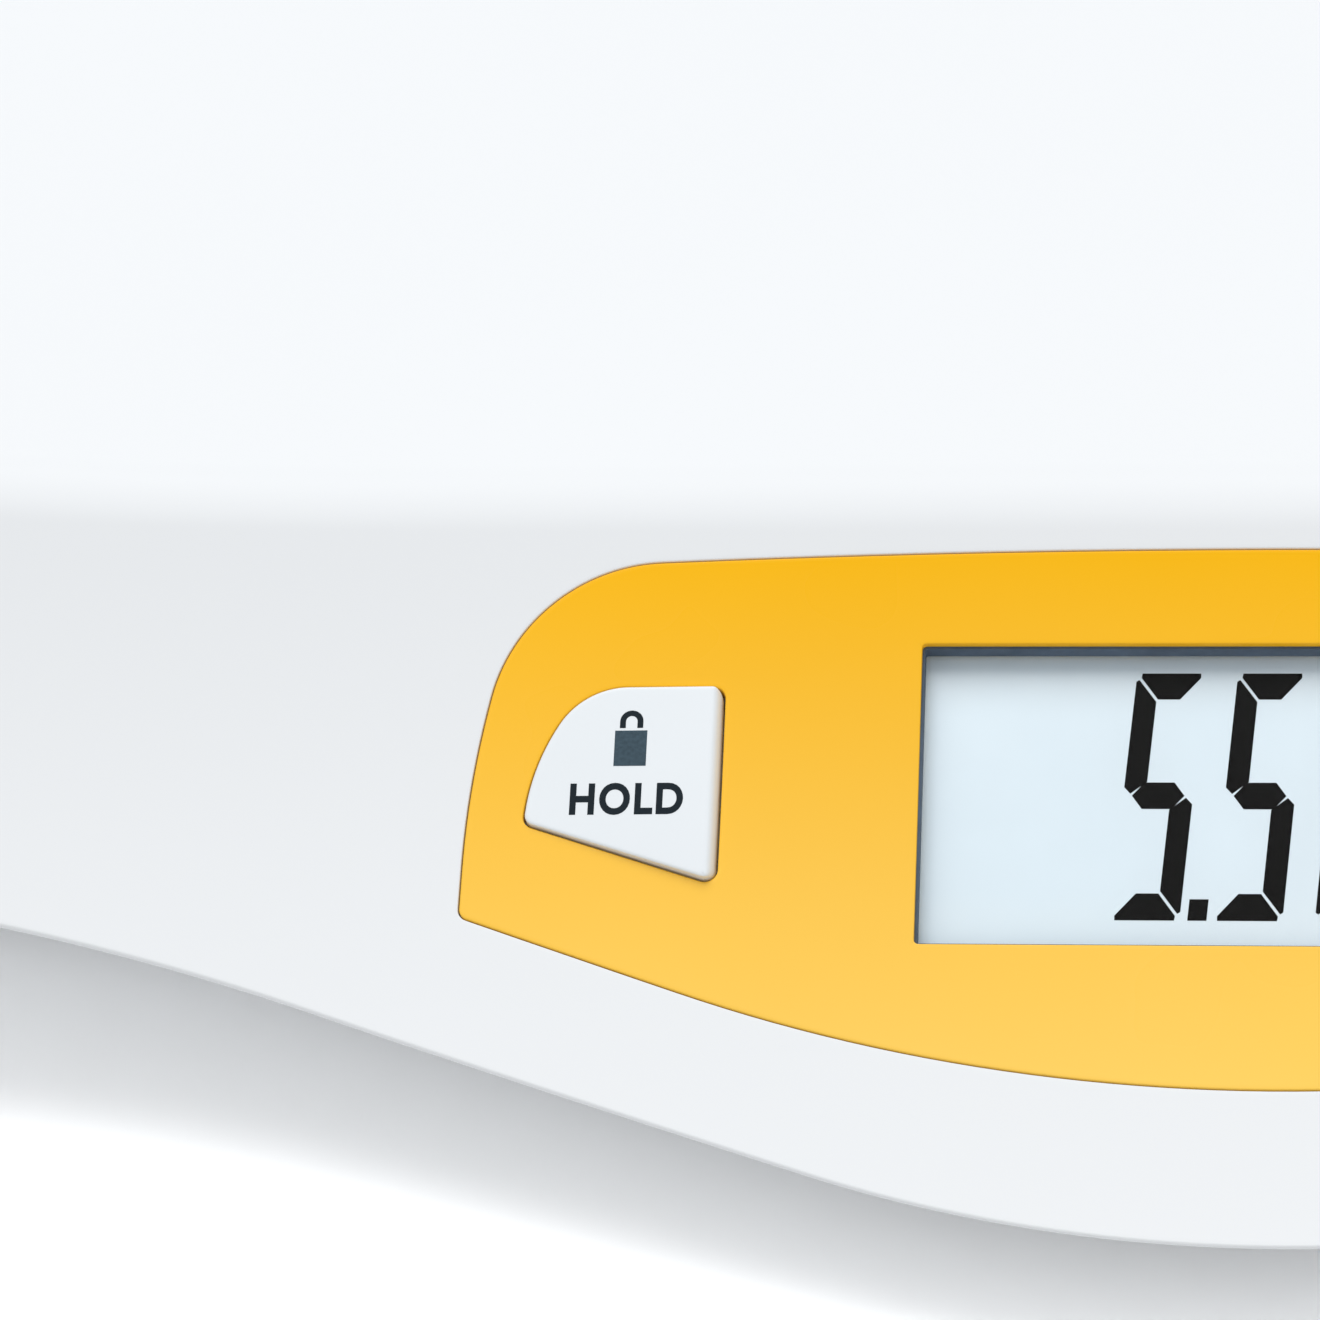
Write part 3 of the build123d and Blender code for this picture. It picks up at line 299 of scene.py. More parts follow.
def bowed_half(mesh, sizes, grow):
    """The right half of the tray's outline, from the middle of the front to that of the back."""
    side, rear = sizes.side_bow, sizes.back_bow
    front = back = sizes.half_depth
    reach = sizes.half_width - sizes.back_corner * (cos(side) - sin(rear))
    rise = back - tan(rear / 2) * reach - sizes.back_corner * (cos(rear) - sin(side))
    rise -= sizes.flank_setback - front + sizes.front_corner * (1 - sin(side))
    side_radius = rise / (2 * sin(side) - tan(rear / 2) * (1 - cos(side)))
    corner_start = sizes.half_width - side_radius * (1 - cos(side)) - sizes.front_corner * cos(side)
    hollow_end = corner_start - sizes.flank_length
    widest = (hollow_end**2 + sizes.flank_setback**2) / (2 * sizes.flank_setback)
    nose, shoulder = sizes.bulge_share * widest, sizes.hollow_share * widest
    between = Vector((hollow_end, sizes.flank_setback - nose - shoulder))
    turn = asin((nose + shoulder) / between.length) - atan2(-between.y, between.x)
    slant = between.x * cos(turn) + between.y * sin(turn)
    trace = Trace(mesh, (0, -front, 0), (1, 0, 0), grow)
    trace.arc(nose, turn).line(slant).arc(shoulder, -turn).line(sizes.flank_length)
    trace.arc(sizes.front_corner, pi / 2 - side).arc(side_radius, 2 * side)
    trace.arc(sizes.back_corner, pi / 2 - side - rear)
    trace.arc((trace.tip.co.x / sin(rear)) - grow, rear)
    trace.tip.co.x = 0
    return trace


def panel_half(mesh, sizes, grow):
    """The right half of the panel's outline, from the middle of its bottom to that of its top."""
    turn = sizes.bottom_angle
    corner_turn = pi / 2 - turn
    slant = (sizes.half_width - sizes.bottom_radius * sin(turn)) / cos(turn)
    slant -= sizes.bottom_corner * tan(corner_turn / 2)
    height = sizes.bottom + sizes.bottom_radius * (1 - cos(turn)) + slant * sin(turn)
    height += sizes.bottom_corner * cos(turn)
    top_angle = pi / 2 - sizes.side_angle - sizes.corner_angle
    corner_end = sizes.half_width - sizes.side_radius * (1 - cos(sizes.side_angle))
    corner_end -= sizes.corner_radius * (cos(sizes.side_angle) - sin(top_angle))
    # a corner that shrinks by more than its radius shortens both of its sides instead
    excess = max(0.0, -grow - sizes.bottom_corner + sizes.least_corner)
    cutback = excess * tan(corner_turn / 2)
    trace = Trace(mesh, (0, sizes.bottom, 0), (1, 0, 0), grow)
    trace.arc(sizes.bottom_radius, turn).line(slant - cutback)
    trace.arc(sizes.bottom_corner + excess, corner_turn)
    trace.line(sizes.side_start - height - cutback)
    trace.arc(sizes.side_radius, sizes.side_angle)
    trace.arc(sizes.corner_radius, sizes.corner_angle)
    trace.arc(corner_end / sin(top_angle), top_angle)
    trace.tip.co.x = 0
    return trace


def key_loop(mesh, sizes, grow):
    """The closed outline of the key at the right."""
    small, slope = sizes.edge_round, sizes.bottom_slope
    corner = Vector((sizes.inner + sizes.top_run, sizes.top - sizes.corner_radius))
    step = sizes.corner_radius - sizes.flank_radius
    centre = corner + step * Vector((sin(sizes.corner_angle), cos(sizes.corner_angle)))
    above = (centre - Vector((sizes.inner, sizes.bottom))) @ Vector((-sin(slope), cos(slope)))
    flank_end = acos((small - above) / (sizes.flank_radius - small)) - slope
    inner_turn = pi / 2 + slope
    tangent = small * tan(inner_turn / 2)
    trace = Trace(mesh, (sizes.inner, sizes.top - small, 0), (0, -1, 0), grow)
    trace.line(sizes.top - small - sizes.bottom - tangent).arc(small, inner_turn)
    base = Vector((sizes.inner, sizes.bottom)) + tangent * Vector((cos(slope), sin(slope)))
    toe = centre + (sizes.flank_radius - small) * Vector((sin(flank_end), cos(flank_end)))
    toe += small * Vector((sin(slope), -cos(slope)))
    trace.line((toe - base).length).arc(small, pi - slope - flank_end)
    trace.arc(sizes.flank_radius, flank_end - sizes.corner_angle)
    trace.arc(sizes.corner_radius, sizes.corner_angle)
    trace.line(sizes.top_run - small).arc(small, pi / 2)
    return trace


def rounded_half(mesh, width, height, radius, grow=0.0):
    """The right half of a rectangle with round corners, from its bottom to its top."""
    trace = Trace(mesh, (0, -height / 2, 0), (1, 0, 0), grow)
    trace.line(width / 2 - radius).arc(radius, pi / 2).line(height - 2 * radius)
    trace.arc(radius, pi / 2).line(width / 2 - radius)
    trace.tip.co.x = 0
    return trace


def points_of(draw, *sizes):
    """The points of an outline."""
    mesh = bmesh.new()
    points = [vert.co.copy() for vert in draw(mesh, *sizes).verts]
    mesh.free()
    return points


def mirrored(mesh, part=None):
    """Adds the left half of the whole mesh, or of a part of it."""
    bmesh.ops.mirror(mesh, geom=part or mesh.verts[:] + mesh.edges[:] + mesh.faces[:],
                     matrix=Matrix(), merge_dist=TOUCH, axis="X")


def band(draw, grows, *sizes):
    """A flat band between an outline that grows by the first measure and by the second."""
    mesh = bmesh.new()
    for grow in grows:
        draw(mesh, *sizes, grow)
    mirrored(mesh)
    bmesh.ops.bridge_loops(mesh, edges=mesh.edges[:])
    return mesh


def cut(mesh, places, axis):
    """Cuts every face at these places along an axis."""
    normal = Vector((0, 0, 0))
    normal[axis] = 1
    for place in places:
        bmesh.ops.bisect_plane(mesh, geom=mesh.verts[:] + mesh.edges[:] + mesh.faces[:],
                               dist=TOUCH / 2, plane_co=normal * place, plane_no=normal)


def flat(height):
    """A level that is the same everywhere."""
    return lambda x, y: height


def set_level(verts, level):
    for vert in verts:
        vert.co.z = level(vert.co.x, vert.co.y)


def raised(mesh, faces, level):
    """Makes a solid of faces: they stay as its bottom, and its top is at the level."""
    made = bmesh.ops.extrude_face_region(mesh, geom=faces, use_keep_orig=True)["geom"]
    set_level([part for part in made if isinstance(part, bmesh.types.BMVert)], level)
    return mesh


def boundary_loops(mesh):
    """The open edges of a sheet, one list for each loop, the longest first."""
    open_edges = {edge: None for edge in mesh.edges if edge.is_boundary}
    loops = []
    while open_edges:
        loop, grown = [], [open_edges.popitem()[0]]
        while grown:
            edge = grown.pop()
            loop.append(edge)
            for other in (other for vert in edge.verts for other in vert.link_edges):
                if other in open_edges:
                    del open_edges[other]
                    grown.append(other)
        loops.append(loop)
    return sorted(loops, key=lambda loop: -sum(edge.calc_length() for edge in loop))


def set_outward(mesh, loop):
    """Keeps, for each vertex of an open loop, the direction away from the sheet."""
    layers = mesh.verts.layers.float_vector
    layer = layers.get("outward") or layers.new("outward")
    sums = {vert: Vector((0, 0, 0)) for edge in loop for vert in edge.verts}
    for edge in loop:
        corner = edge.link_loops[0]
        corner.face.normal_update()
        along = corner.link_loop_next.vert.co - corner.vert.co
        normal = Vector((along.y, -along.x, 0)).normalized()
        if corner.face.normal.z < 0:
            normal.negate()
        for vert in edge.verts:
            sums[vert] += normal
    for vert, total in sums.items():
        vert[layer] = total.normalized()
    return loop


def extended(mesh, loop):
    """Extrudes a loop of edges where it is: its new vertices, and the loop between them."""
    made = bmesh.ops.extrude_edge_only(mesh, edges=loop)["geom"]
    verts = {part for part in made if isinstance(part, bmesh.types.BMVert)}
    return verts, [part for part in made if isinstance(part, bmesh.types.BMEdge)
                   and verts.issuperset(part.verts)]


def ring(mesh, loop, out, level):
    """Extrudes a loop by one ring: `out` away from the sheet, to the height that level gives."""
    verts, loop = extended(mesh, loop)
    layer = mesh.verts.layers.float_vector["outward"]
    for vert in verts:
        vert.co += vert[layer] * out
    set_level(verts, level)
    return loop


def rounded_rim(mesh, loop, radius, steps, top):
    """Rolls a loop over by a quarter turn, from the sheet's surface into its wall."""
    previous = 0.0
    for step in range(1, steps + 1):
        turn = step * pi / 2 / steps
        out, drop = radius * sin(turn), radius * (1 - cos(turn))
        loop = ring(mesh, loop, out - previous, lambda x, y: top(x, y) - drop)
        previous = out
    return loop


def stepped(mesh, loop, level, draw, *sizes):
    """Bridges a loop to an outline of these sizes, which lies at the level."""
    before = set(mesh.edges)
    draw(mesh, *sizes)
    half = [edge for edge in mesh.edges if edge not in before]
    verts = list({vert: None for edge in half for vert in edge.verts})
    set_level(verts, level)
    mirrored(mesh, half + verts)
    outline = [edge for edge in mesh.edges if edge not in before]
    bmesh.ops.bridge_loops(mesh, edges=loop + outline)
    return outline


def tube(place, radius, bore, foot, top):
    """A closed tube that stands at a place, from its foot to the level of its top."""
    mesh = bmesh.new()
    bmesh.ops.create_circle(mesh, cap_ends=True, segments=32, radius=radius)
    bmesh.ops.inset_region(mesh, faces=mesh.faces[:], thickness=radius - bore)
    bmesh.ops.delete(mesh, geom=[face for face in mesh.faces if len(face.verts) > 4],
                     context="FACES_ONLY")
    bmesh.ops.translate(mesh, verts=mesh.verts[:], vec=(*place, foot))
    return raised(mesh, mesh.faces[:], top)


def plate(mesh, points, thickness):
    """A thin plate with these corners, its underside on the plane."""
    verts = [mesh.verts.new((x, y, 0)) for x, y in points]
    face = bmesh.ops.contextual_create(mesh, geom=verts)["faces"]
    return raised(mesh, face, flat(thickness))


def box_of(x, y, width, height):
    """Corners of a rectangle; x is its middle and y its bottom."""
    left, right, top = x - width / 2, x + width / 2, y + height
    return (left, y), (right, y), (right, top), (left, top)


def bow(mesh, radius, width, start, sweep, thickness):
    """A thin flat arc round the origin, its underside on the plane."""
    near, far = (Matrix.Rotation(start, 2) @ Vector((radius + side * width / 2, 0))
                 for side in (-1, 1))
    verts = [mesh.verts.new((*place, height)) for place, height in (
        (near, 0), (far, 0), (far, thickness), (near, thickness))]
    face = bmesh.ops.contextual_create(mesh, geom=verts)["faces"]
    bmesh.ops.spin(mesh, geom=face + list(face[0].edges) + verts, cent=(0, 0, 0), axis=(0, 0, 1),
                   dvec=(0, 0, 0), angle=sweep, steps=28, use_merge=False, use_normal_flip=False,
                   use_duplicate=False)
    return mesh


def word(text, width, height, weight, thickness):
    """A word as a thin solid of that size, with its middle at the origin."""
    curve = bpy.data.curves.new(text, "FONT")
    curve.body = text
    curve.align_x, curve.align_y = "CENTER", "CENTER"
    curve.offset = weight
    curve.space_character = 1.14
    curve.resolution_u = 6
    curve.extrude = 0.01
    written = bpy.data.objects.new(text, curve)
    data = bpy.data.meshes.new_from_object(written)
    mesh = bmesh.new()
    mesh.from_mesh(data)
    bpy.data.objects.remove(written)
    bpy.data.curves.remove(curve)
    bpy.data.meshes.remove(data)
    low, high = (Vector([end(vert.co[axis] for vert in mesh.verts) for axis in range(3)])
                 for end in (min, max))
    size = high - low
    bmesh.ops.translate(mesh, verts=mesh.verts[:], vec=-(low + high) / 2)
    bmesh.ops.scale(mesh, verts=mesh.verts[:],
                    vec=(width / size.x, height / size.y, thickness / size.z))
    bmesh.ops.remove_doubles(mesh, verts=mesh.verts[:], dist=TOUCH / 4)
    return mesh


def joined(*meshes):
    """One mesh of several, with their common edges merged and their faces turned outwards."""
    whole = bmesh.new()
    for mesh in meshes:
        data = bpy.data.meshes.new("part")
        mesh.to_mesh(data)
        whole.from_mesh(data)
        bpy.data.meshes.remove(data)
        mesh.free()
    bmesh.ops.remove_doubles(whole, verts=whole.verts[:], dist=TOUCH)
    bmesh.ops.recalc_face_normals(whole, faces=whole.faces[:])
    return whole


def shell(name, top, under):
    """The closed shell of two sheets, which meet along one edge and are bridged at the other."""
    body = joined(top, under)
    bmesh.ops.bridge_loops(body, edges=sum(boundary_loops(body), []))
    bmesh.ops.recalc_face_normals(body, faces=body.faces[:])
    if not all(edge.is_manifold for edge in body.edges):
        raise RuntimeError(f"the {name}'s shell isn't closed")
    return body


def finished(name, mesh, material, body, slot, *nodes):
    """Makes a mesh a piece of the scale, on its body and in place of the nodes it stands for."""
    for face in mesh.faces:
        face.smooth = True
    for edge in mesh.edges:
        edge.smooth = edge.is_manifold and edge.calc_face_angle(0.0) < radians(32)
    data = bpy.data.meshes.new(name)
    mesh.to_mesh(data)
    mesh.free()
    data.materials.append(material)
    piece = bpy.data.objects.new(name, data)
    bpy.context.scene.collection.objects.link(piece)
    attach(piece, body)
    if nodes:
        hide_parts(*nodes)


# --- The tray's surface and the panel's plane --------------------------------------------------
class TraySurface:
    """Heights of the tray's top surface and of the surfaces under it."""

    def __init__(self, scene):
        tray, panel = scene.scale_tray, scene.scale_panel
        self.tray, self.panel = tray, panel
        front, crest = tray.lip_slope, tray.crest_slope
        bowl_length = 2 * tray.half_depth - tray.back_rim_width
        bowl_length -= tray.apron_radius * (sin(crest) - sin(front))
        bowl_length -= tray.crest_radius * (sin(crest) + sin(tray.bowl_slope))
        bowl_length -= tray.rise_radius * (sin(tray.rise_slope) - sin(tray.bowl_slope))
        bowl_length -= tray.back_crest_radius * (sin(tray.rise_slope) + sin(tray.back_rim_slope))
        self.bowl_radius = bowl_length / (2 * sin(tray.bowl_slope))
        self.bend_centre = tray.bend_height + tray.bend_radius
        self.kept = {}
        self.slope = asin(sin(front) + panel.setback / tray.apron_radius)
        height = tray.lip_height + tray.apron_radius * (cos(front) - cos(self.slope))
        self.origin = Vector((0, panel.setback - tray.half_depth, height))
        self.plane = Matrix.Translation(self.origin) @ Matrix.Rotation(self.slope, 4, "X")

    def arcs(self, depth):
        """For each arc of the profile: where it ends, its centre and its radius, + if hollow."""
        if depth not in self.kept:
            tray = self.tray
            heading = tray.lip_slope
            y = -tray.half_depth + depth * sin(heading)
            z = tray.lip_height - depth * cos(heading)
            self.kept[depth] = arcs = []
            for radius, slope in ((tray.apron_radius + depth, tray.crest_slope),
                                  (depth - tray.crest_radius, -tray.bowl_slope),
                                  (self.bowl_radius + depth, tray.bowl_slope),
                                  (tray.rise_radius + depth, tray.rise_slope),
                                  (depth - tray.back_crest_radius, -tray.back_rim_slope)):
                centre = (y - radius * sin(heading), z + radius * cos(heading))
                start, heading = heading, slope
                y = centre[0] + radius * sin(heading)
                z = centre[1] - radius * cos(heading)
                arcs.append((y, centre, radius, start, heading, z))
        return self.kept[depth]

    def profile(self, y, depth):
        arcs = self.arcs(depth)
        for end, centre, radius, *_ in arcs:
            if y <= end:
                ratio = (y - centre[0]) / radius
                if abs(ratio) < 1:
                    return centre[1] - radius * cos(asin(ratio))
        end, height = arcs[-1][0], arcs[-1][5]
        return height - (y - end) * tan(self.tray.back_rim_slope)

    def height(self, x, y, depth=0.0):
        z = self.profile(y, depth)
        past = abs(x) - self.tray.half_straight
        if past > 0:
            z = self.bend_centre - sqrt((self.bend_centre - z) ** 2 - past**2)
        return z

    def level(self, depth=0.0, lift=0.0):
        """The height of the surface at a depth, plus a lift, as a function of the place."""
        return lambda x, y: self.height(x, y, depth) + lift

    def rows(self):
        """Where the sheet is cut across, closer together where the profile turns faster."""
        steps = (radians(1.0), radians(1.5), radians(0.5), radians(1.0), radians(2.0))
        places = []
        for (_, centre, radius, start, stop, _), step in zip(self.arcs(0.0), steps):
            count = ceil(abs(stop - start) / step)
            turns = [start + (stop - start) * i / count for i in range(count + 1)]
            places += [centre[0] + radius * sin(turn) for turn in turns[0 if places else 1:]]
        return places

    def columns(self):
        """Where the right half of the sheet is cut lengthways."""
        tray = self.tray
        step = radians(1.0)
        places = [tray.half_straight * i / 3 for i in (1, 2, 3)]
        turn = step
        while tray.bend_radius * sin(turn) < tray.half_width - tray.half_straight:
            places.append(tray.half_straight + tray.bend_radius * sin(turn))
            turn += step
        return places

    def swell(self, v, depth=0.0):
        """Height above the panel's plane of the surface at a depth, v up the slope."""
        radius = self.tray.apron_radius
        return radius - sqrt((radius + depth) ** 2 - v * v)

    def panel_level(self, depth=0.0):
        """The same as a function of the place on the panel's plane."""
        return lambda u, v: self.swell(v, depth)

    def seen_from_above(self, u, v):
        return self.plane @ Vector((u, v, self.swell(v)))


# --- Materials ---------------------------------------------------------------------------------
class Nodes:
    """A tree of shader nodes, whose sockets take a value or the output of another node."""
    FACTOR, FIRST, SECOND, RESULT = 0, 6, 7, 2  # colour sockets of a mix node

    def __init__(self, tree):
        self.tree = tree

    def feed(self, node, sockets):
        for name, value in sockets.items():
            socket = node.inputs[name]
            if isinstance(value, bpy.types.NodeSocket):
                self.tree.links.new(value, socket)
            else:
                socket.default_value = (*value, 1.0) if socket.type == "RGBA" else value
        return node

    def add(self, kind, sockets, **settings):
        node = self.tree.nodes.new("ShaderNode" + kind)
        for name, value in settings.items():
            setattr(node, name, value)
        return self.feed(node, sockets)

    def place(self):
        """Coordinates on the piece itself."""
        return self.add("TexCoord", {}).outputs["Object"]

    def along_y(self, low, high):
        """0 up to one place on the piece's Y axis, and 1 from another on."""
        split = self.add("SeparateXYZ", {"Vector": self.place()})
        return self.ranged(split.outputs["Y"], 0.0, 1.0, low, high)

    def noise(self, scale, detail=2.0, roughness=0.5, stretch=(1, 1, 1)):
        """Noise on the piece, with this many features to a metre."""
        mapping = self.add("Mapping", {"Vector": self.place(), "Scale": stretch})
        return self.add("TexNoise", {"Vector": mapping.outputs["Vector"], "Scale": scale,
                                     "Detail": detail, "Roughness": roughness}).outputs["Fac"]

    def ranged(self, value, low=0.0, high=1.0, start=0.3, end=0.7):
        """Goes from low to high while the value goes from start to end."""
        return self.add("MapRange", {"Value": value, "From Min": start, "From Max": end,
                                     "To Min": low, "To Max": high}).outputs["Result"]

    def blended(self, factor, first, second):
        node = self.add("Mix", {}, data_type="RGBA")
        self.feed(node, {self.FACTOR: factor, self.FIRST: first, self.SECOND: second})
        return node.outputs[self.RESULT]

    def bump(self, height, distance, below=None, strength=1.0):
        node = self.add("Bump", {"Height": height, "Distance": distance, "Strength": strength})
        if below:
            self.feed(node, {"Normal": below})
        return node.outputs["Normal"]

    def mixed(self, factor, first, second):
        """One shader over another."""
        return self.add("MixShader", {0: factor, 1: first.outputs[0], 2: second.outputs[0]})

    def seen_directly(self):
        """1 for the camera's rays and those through or off a gloss, 0 for the light itself."""
        rays = self.add("LightPath", {}).outputs
        factor = rays["Is Camera Ray"]
        for kind in ("Is Glossy Ray", "Is Transmission Ray"):
            factor = self.add("Math", {0: factor, 1: rays[kind]}, operation="MAXIMUM").outputs[0]
        return factor

    def shows(self, shader, output):
        self.feed(self.tree.nodes[output], {"Surface": shader.outputs[0]})


def started(name):
    """A new material with its nodes and its shader."""
    material = bpy.data.materials.new(name)
    material.use_nodes = True
    return material, Nodes(material.node_tree), material.node_tree.nodes["Principled BSDF"]


def shaded(value, factor):
    return tuple(channel * factor for channel in value)


def finish(name, dark, light, clouds, gloss, levels, grain, depth, span=(0.3, 0.7), ripple=0.0,
           **sockets):
    """Clouds between two shades, a gloss that wanders between two levels, and a fine grain.

    Clouds, gloss and grain are each the settings of a noise.
    """
    material, nodes, shader = started(name)
    normal = nodes.bump(nodes.noise(*grain), depth)
    if ripple:
        normal = nodes.bump(nodes.noise(60.0, 1.0), ripple, normal)
    cloud = nodes.ranged(nodes.noise(*clouds), 0.0, 1.0, *span)
    nodes.feed(shader, {"Base Color": nodes.blended(cloud, dark, light), "Normal": normal,
                        "Roughness": nodes.ranged(nodes.noise(*gloss), *levels, *span)})
    nodes.feed(shader, {name.replace("_", " "): value for name, value in sockets.items()})
    return material


def moulded(name, value, roughness, clouds=14.0, shift=0.975, grain=1400.0, depth=0.000002,
            ripple=0.0, specular=0.5):
    """Moulded plastic: faint flow clouds in its colour and gloss, over a fine surface grain."""
    return finish(name, shaded(value, shift), value, (clouds, 3.0), (clouds * 2.3,),
                  (roughness * 0.88, roughness * 1.12), (grain, 2.0, 0.6), depth, (0.15, 0.85),
                  ripple, Specular_IOR_Level=specular)


def printed_ink(name, value, roughness=0.42, specular=0.08):
    """Print: slightly uneven in cover, matter than what it is on."""
    return finish(name, value, shaded(value, 1.35), (2400.0, 3.0), (900.0,),
                  (roughness * 0.9, roughness * 1.1), (5000.0,), 0.0000008,
                  Specular_IOR_Level=specular)


def metal(name, value, roughness, stretch=(1, 1, 1), scale=900.0):
    """Plated or brushed metal, with its marks drawn out along one way."""
    marks = (scale, 3.0, 0.6, stretch)
    return finish(name, shaded(value, 0.88), value, marks, marks,
                  (roughness * 0.8, roughness * 1.25), marks, 0.000003, Metallic=1.0)


def rubber(name, value):
    """Matt moulded rubber with a dusty bloom."""
    return finish(name, value, shaded(value, 1.5), (180.0, 4.0, 0.65), (700.0,), (0.72, 0.88),
                  (2400.0, 3.0), 0.00001)


def display_face(name, value):
    """The display's pale reflector behind its glass."""
    return finish(name, shaded(value, 0.97), value, (60.0, 3.0), (300.0,), (0.3, 0.4), (6000.0,),
                  0.0000006)


def panel_with_painted_sheen(name, sizes, low, high):
    """Satin yellow with a fine grain, paler down the panel: the fade is painted light, painted
    shade at the steep top and a painted reflection of the light from above lower down.
    """
    material, nodes, shader = started(name)
    deeper, full = (
        nodes.blended(nodes.along_y(low, high), shaded(sizes.painted_sheen_colour, factor),
                      shaded(sizes.upper_colour, factor)) for factor in (0.97, 1.0))
    nodes.feed(shader, {
        "Base Color": nodes.blended(nodes.ranged(nodes.noise(16.0, 3.0)), deeper, full),
        "Roughness": nodes.ranged(nodes.noise(40.0), 0.26, 0.34), "Specular IOR Level": 0.12,
        "Normal": nodes.bump(nodes.noise(2600.0, 2.0, 0.6), 0.000001)})
    return material


def clear_window(name):
    """Clear moulded window: see-through, with the gloss of its surface."""
    material, nodes, shader = started(name)
    nodes.tree.nodes.remove(shader)
    tint = nodes.blended(nodes.ranged(nodes.noise(24.0)), (0.985, 0.992, 0.996),
                         (0.996, 0.998, 1.0))
    facing = nodes.add("Fresnel", {"IOR": 1.1}).outputs["Fac"]
    nodes.shows(nodes.mixed(facing, nodes.add("BsdfTransparent", {"Color": tint}),
                            nodes.add("BsdfGlossy", {"Roughness": 0.06})), "Material Output")
    return material


def circuit_board(name, value):
    """Green solder mask over copper tracks that run square to each other."""
    material, nodes, shader = started(name)
    tracks = nodes.add("TexBrick", {
        "Vector": nodes.place(), "Scale": 420.0, "Mortar Size": 0.06, "Color1": value,
        "Color2": shaded(value, 1.12), "Mortar": shaded(value, 1.9)}, offset=0.35)
    nodes.feed(shader, {
        "Base Color": tracks.outputs["Color"],
        "Roughness": nodes.ranged(nodes.noise(260.0), 0.24, 0.36),
        "Normal": nodes.bump(tracks.outputs["Fac"], 0.00002, strength=0.5)})
    return material


def battery_paint(name, value, band, share):
    """Printed steel can: a dark body with a plain metallic band over a share of its length."""
    material, nodes, shader = started(name)
    low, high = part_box("battery")
    edge = low.y + share * (high.y - low.y)
    body = nodes.blended(nodes.ranged(nodes.noise(300.0, 4.0)), value, shaded(value, 1.25))
    nodes.feed(shader, {
        "Base Color": nodes.blended(nodes.along_y(edge, edge + 0.2 * MM), band, body),
        "Metallic": 0.6, "Roughness": nodes.ranged(nodes.noise(500.0), 0.28, 0.4),
        "Normal": nodes.bump(nodes.noise(1500.0), 0.000002)})
    return material


def dressed(finishes):
    """Gives the frame's own nodes their materials."""
    for material, nodes in finishes.items():
        for node in nodes:
            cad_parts[node].data.materials[0] = material


# --- Pieces ------------------------------------------------------------------------------------
def half_sheet(shape, grow, hole_grow, depth):
    """The tray's sheet at a depth, cut to its outline, with the panel's hole."""
    mesh = bmesh.new()
    outer = bowed_half(mesh, shape.tray, grow)
    hole = panel_half(mesh, shape.panel, hole_grow)
    for vert in hole.verts:
        vert.co = shape.seen_from_above(vert.co.x, vert.co.y)
        vert.co.z = 0
    hole.verts[0].co.x = hole.verts[-1].co.x = 0
    mesh.edges.new((outer.verts[0], hole.verts[0]))
    mesh.edges.new((outer.tip, hole.tip))
    made = bmesh.ops.contextual_create(mesh, geom=mesh.edges[:], mat_nr=0, use_smooth=True)
    if len(made["faces"]) != 1:
        raise RuntimeError("the tray's outline doesn't close")
    cut(mesh, shape.rows(), 1)
    cut(mesh, shape.columns(), 0)
    mirrored(mesh)
    set_level(mesh.verts, shape.level(depth))
    return mesh


def strip_rib(shape, mesh):
    """Makes a rib under the tray of a flat strip."""
    tray, columns = shape.tray, shape.columns()
    cut(mesh, shape.rows(), 1)
    cut(mesh, columns + [-place for place in columns], 0)
    set_level(mesh.verts, shape.level(tray.wall + tray.rib_height))
    return raised(mesh, mesh.faces[:], shape.level(tray.wall / 2))


def tray_ribs(shape):
    """The rib along the tray's rim and those across both wings."""
    tray = shape.tray
    inset, start = tray.rim_rib_inset, tray.wing_rib_start
    yield strip_rib(shape, band(bowed_half, (-inset - tray.rib_width, -inset), tray))
    rim = points_of(bowed_half, tray, -inset - tray.rib_width / 2)
    for y in (row * tray.wing_rib_pitch for row in WING_RIBS):
        end = max(point.x for point in rim if abs(point.y - y) < tray.rib_search)
        for side in (-1, 1):
            bar = bmesh.new()
            bmesh.ops.create_grid(bar, x_segments=1, y_segments=1, size=0.5)
            bmesh.ops.scale(bar, verts=bar.verts[:], vec=(end - start, tray.rib_width, 1))
            bmesh.ops.translate(bar, verts=bar.verts[:], vec=(side * (start + end) / 2, y, 0))
            yield strip_rib(shape, bar)


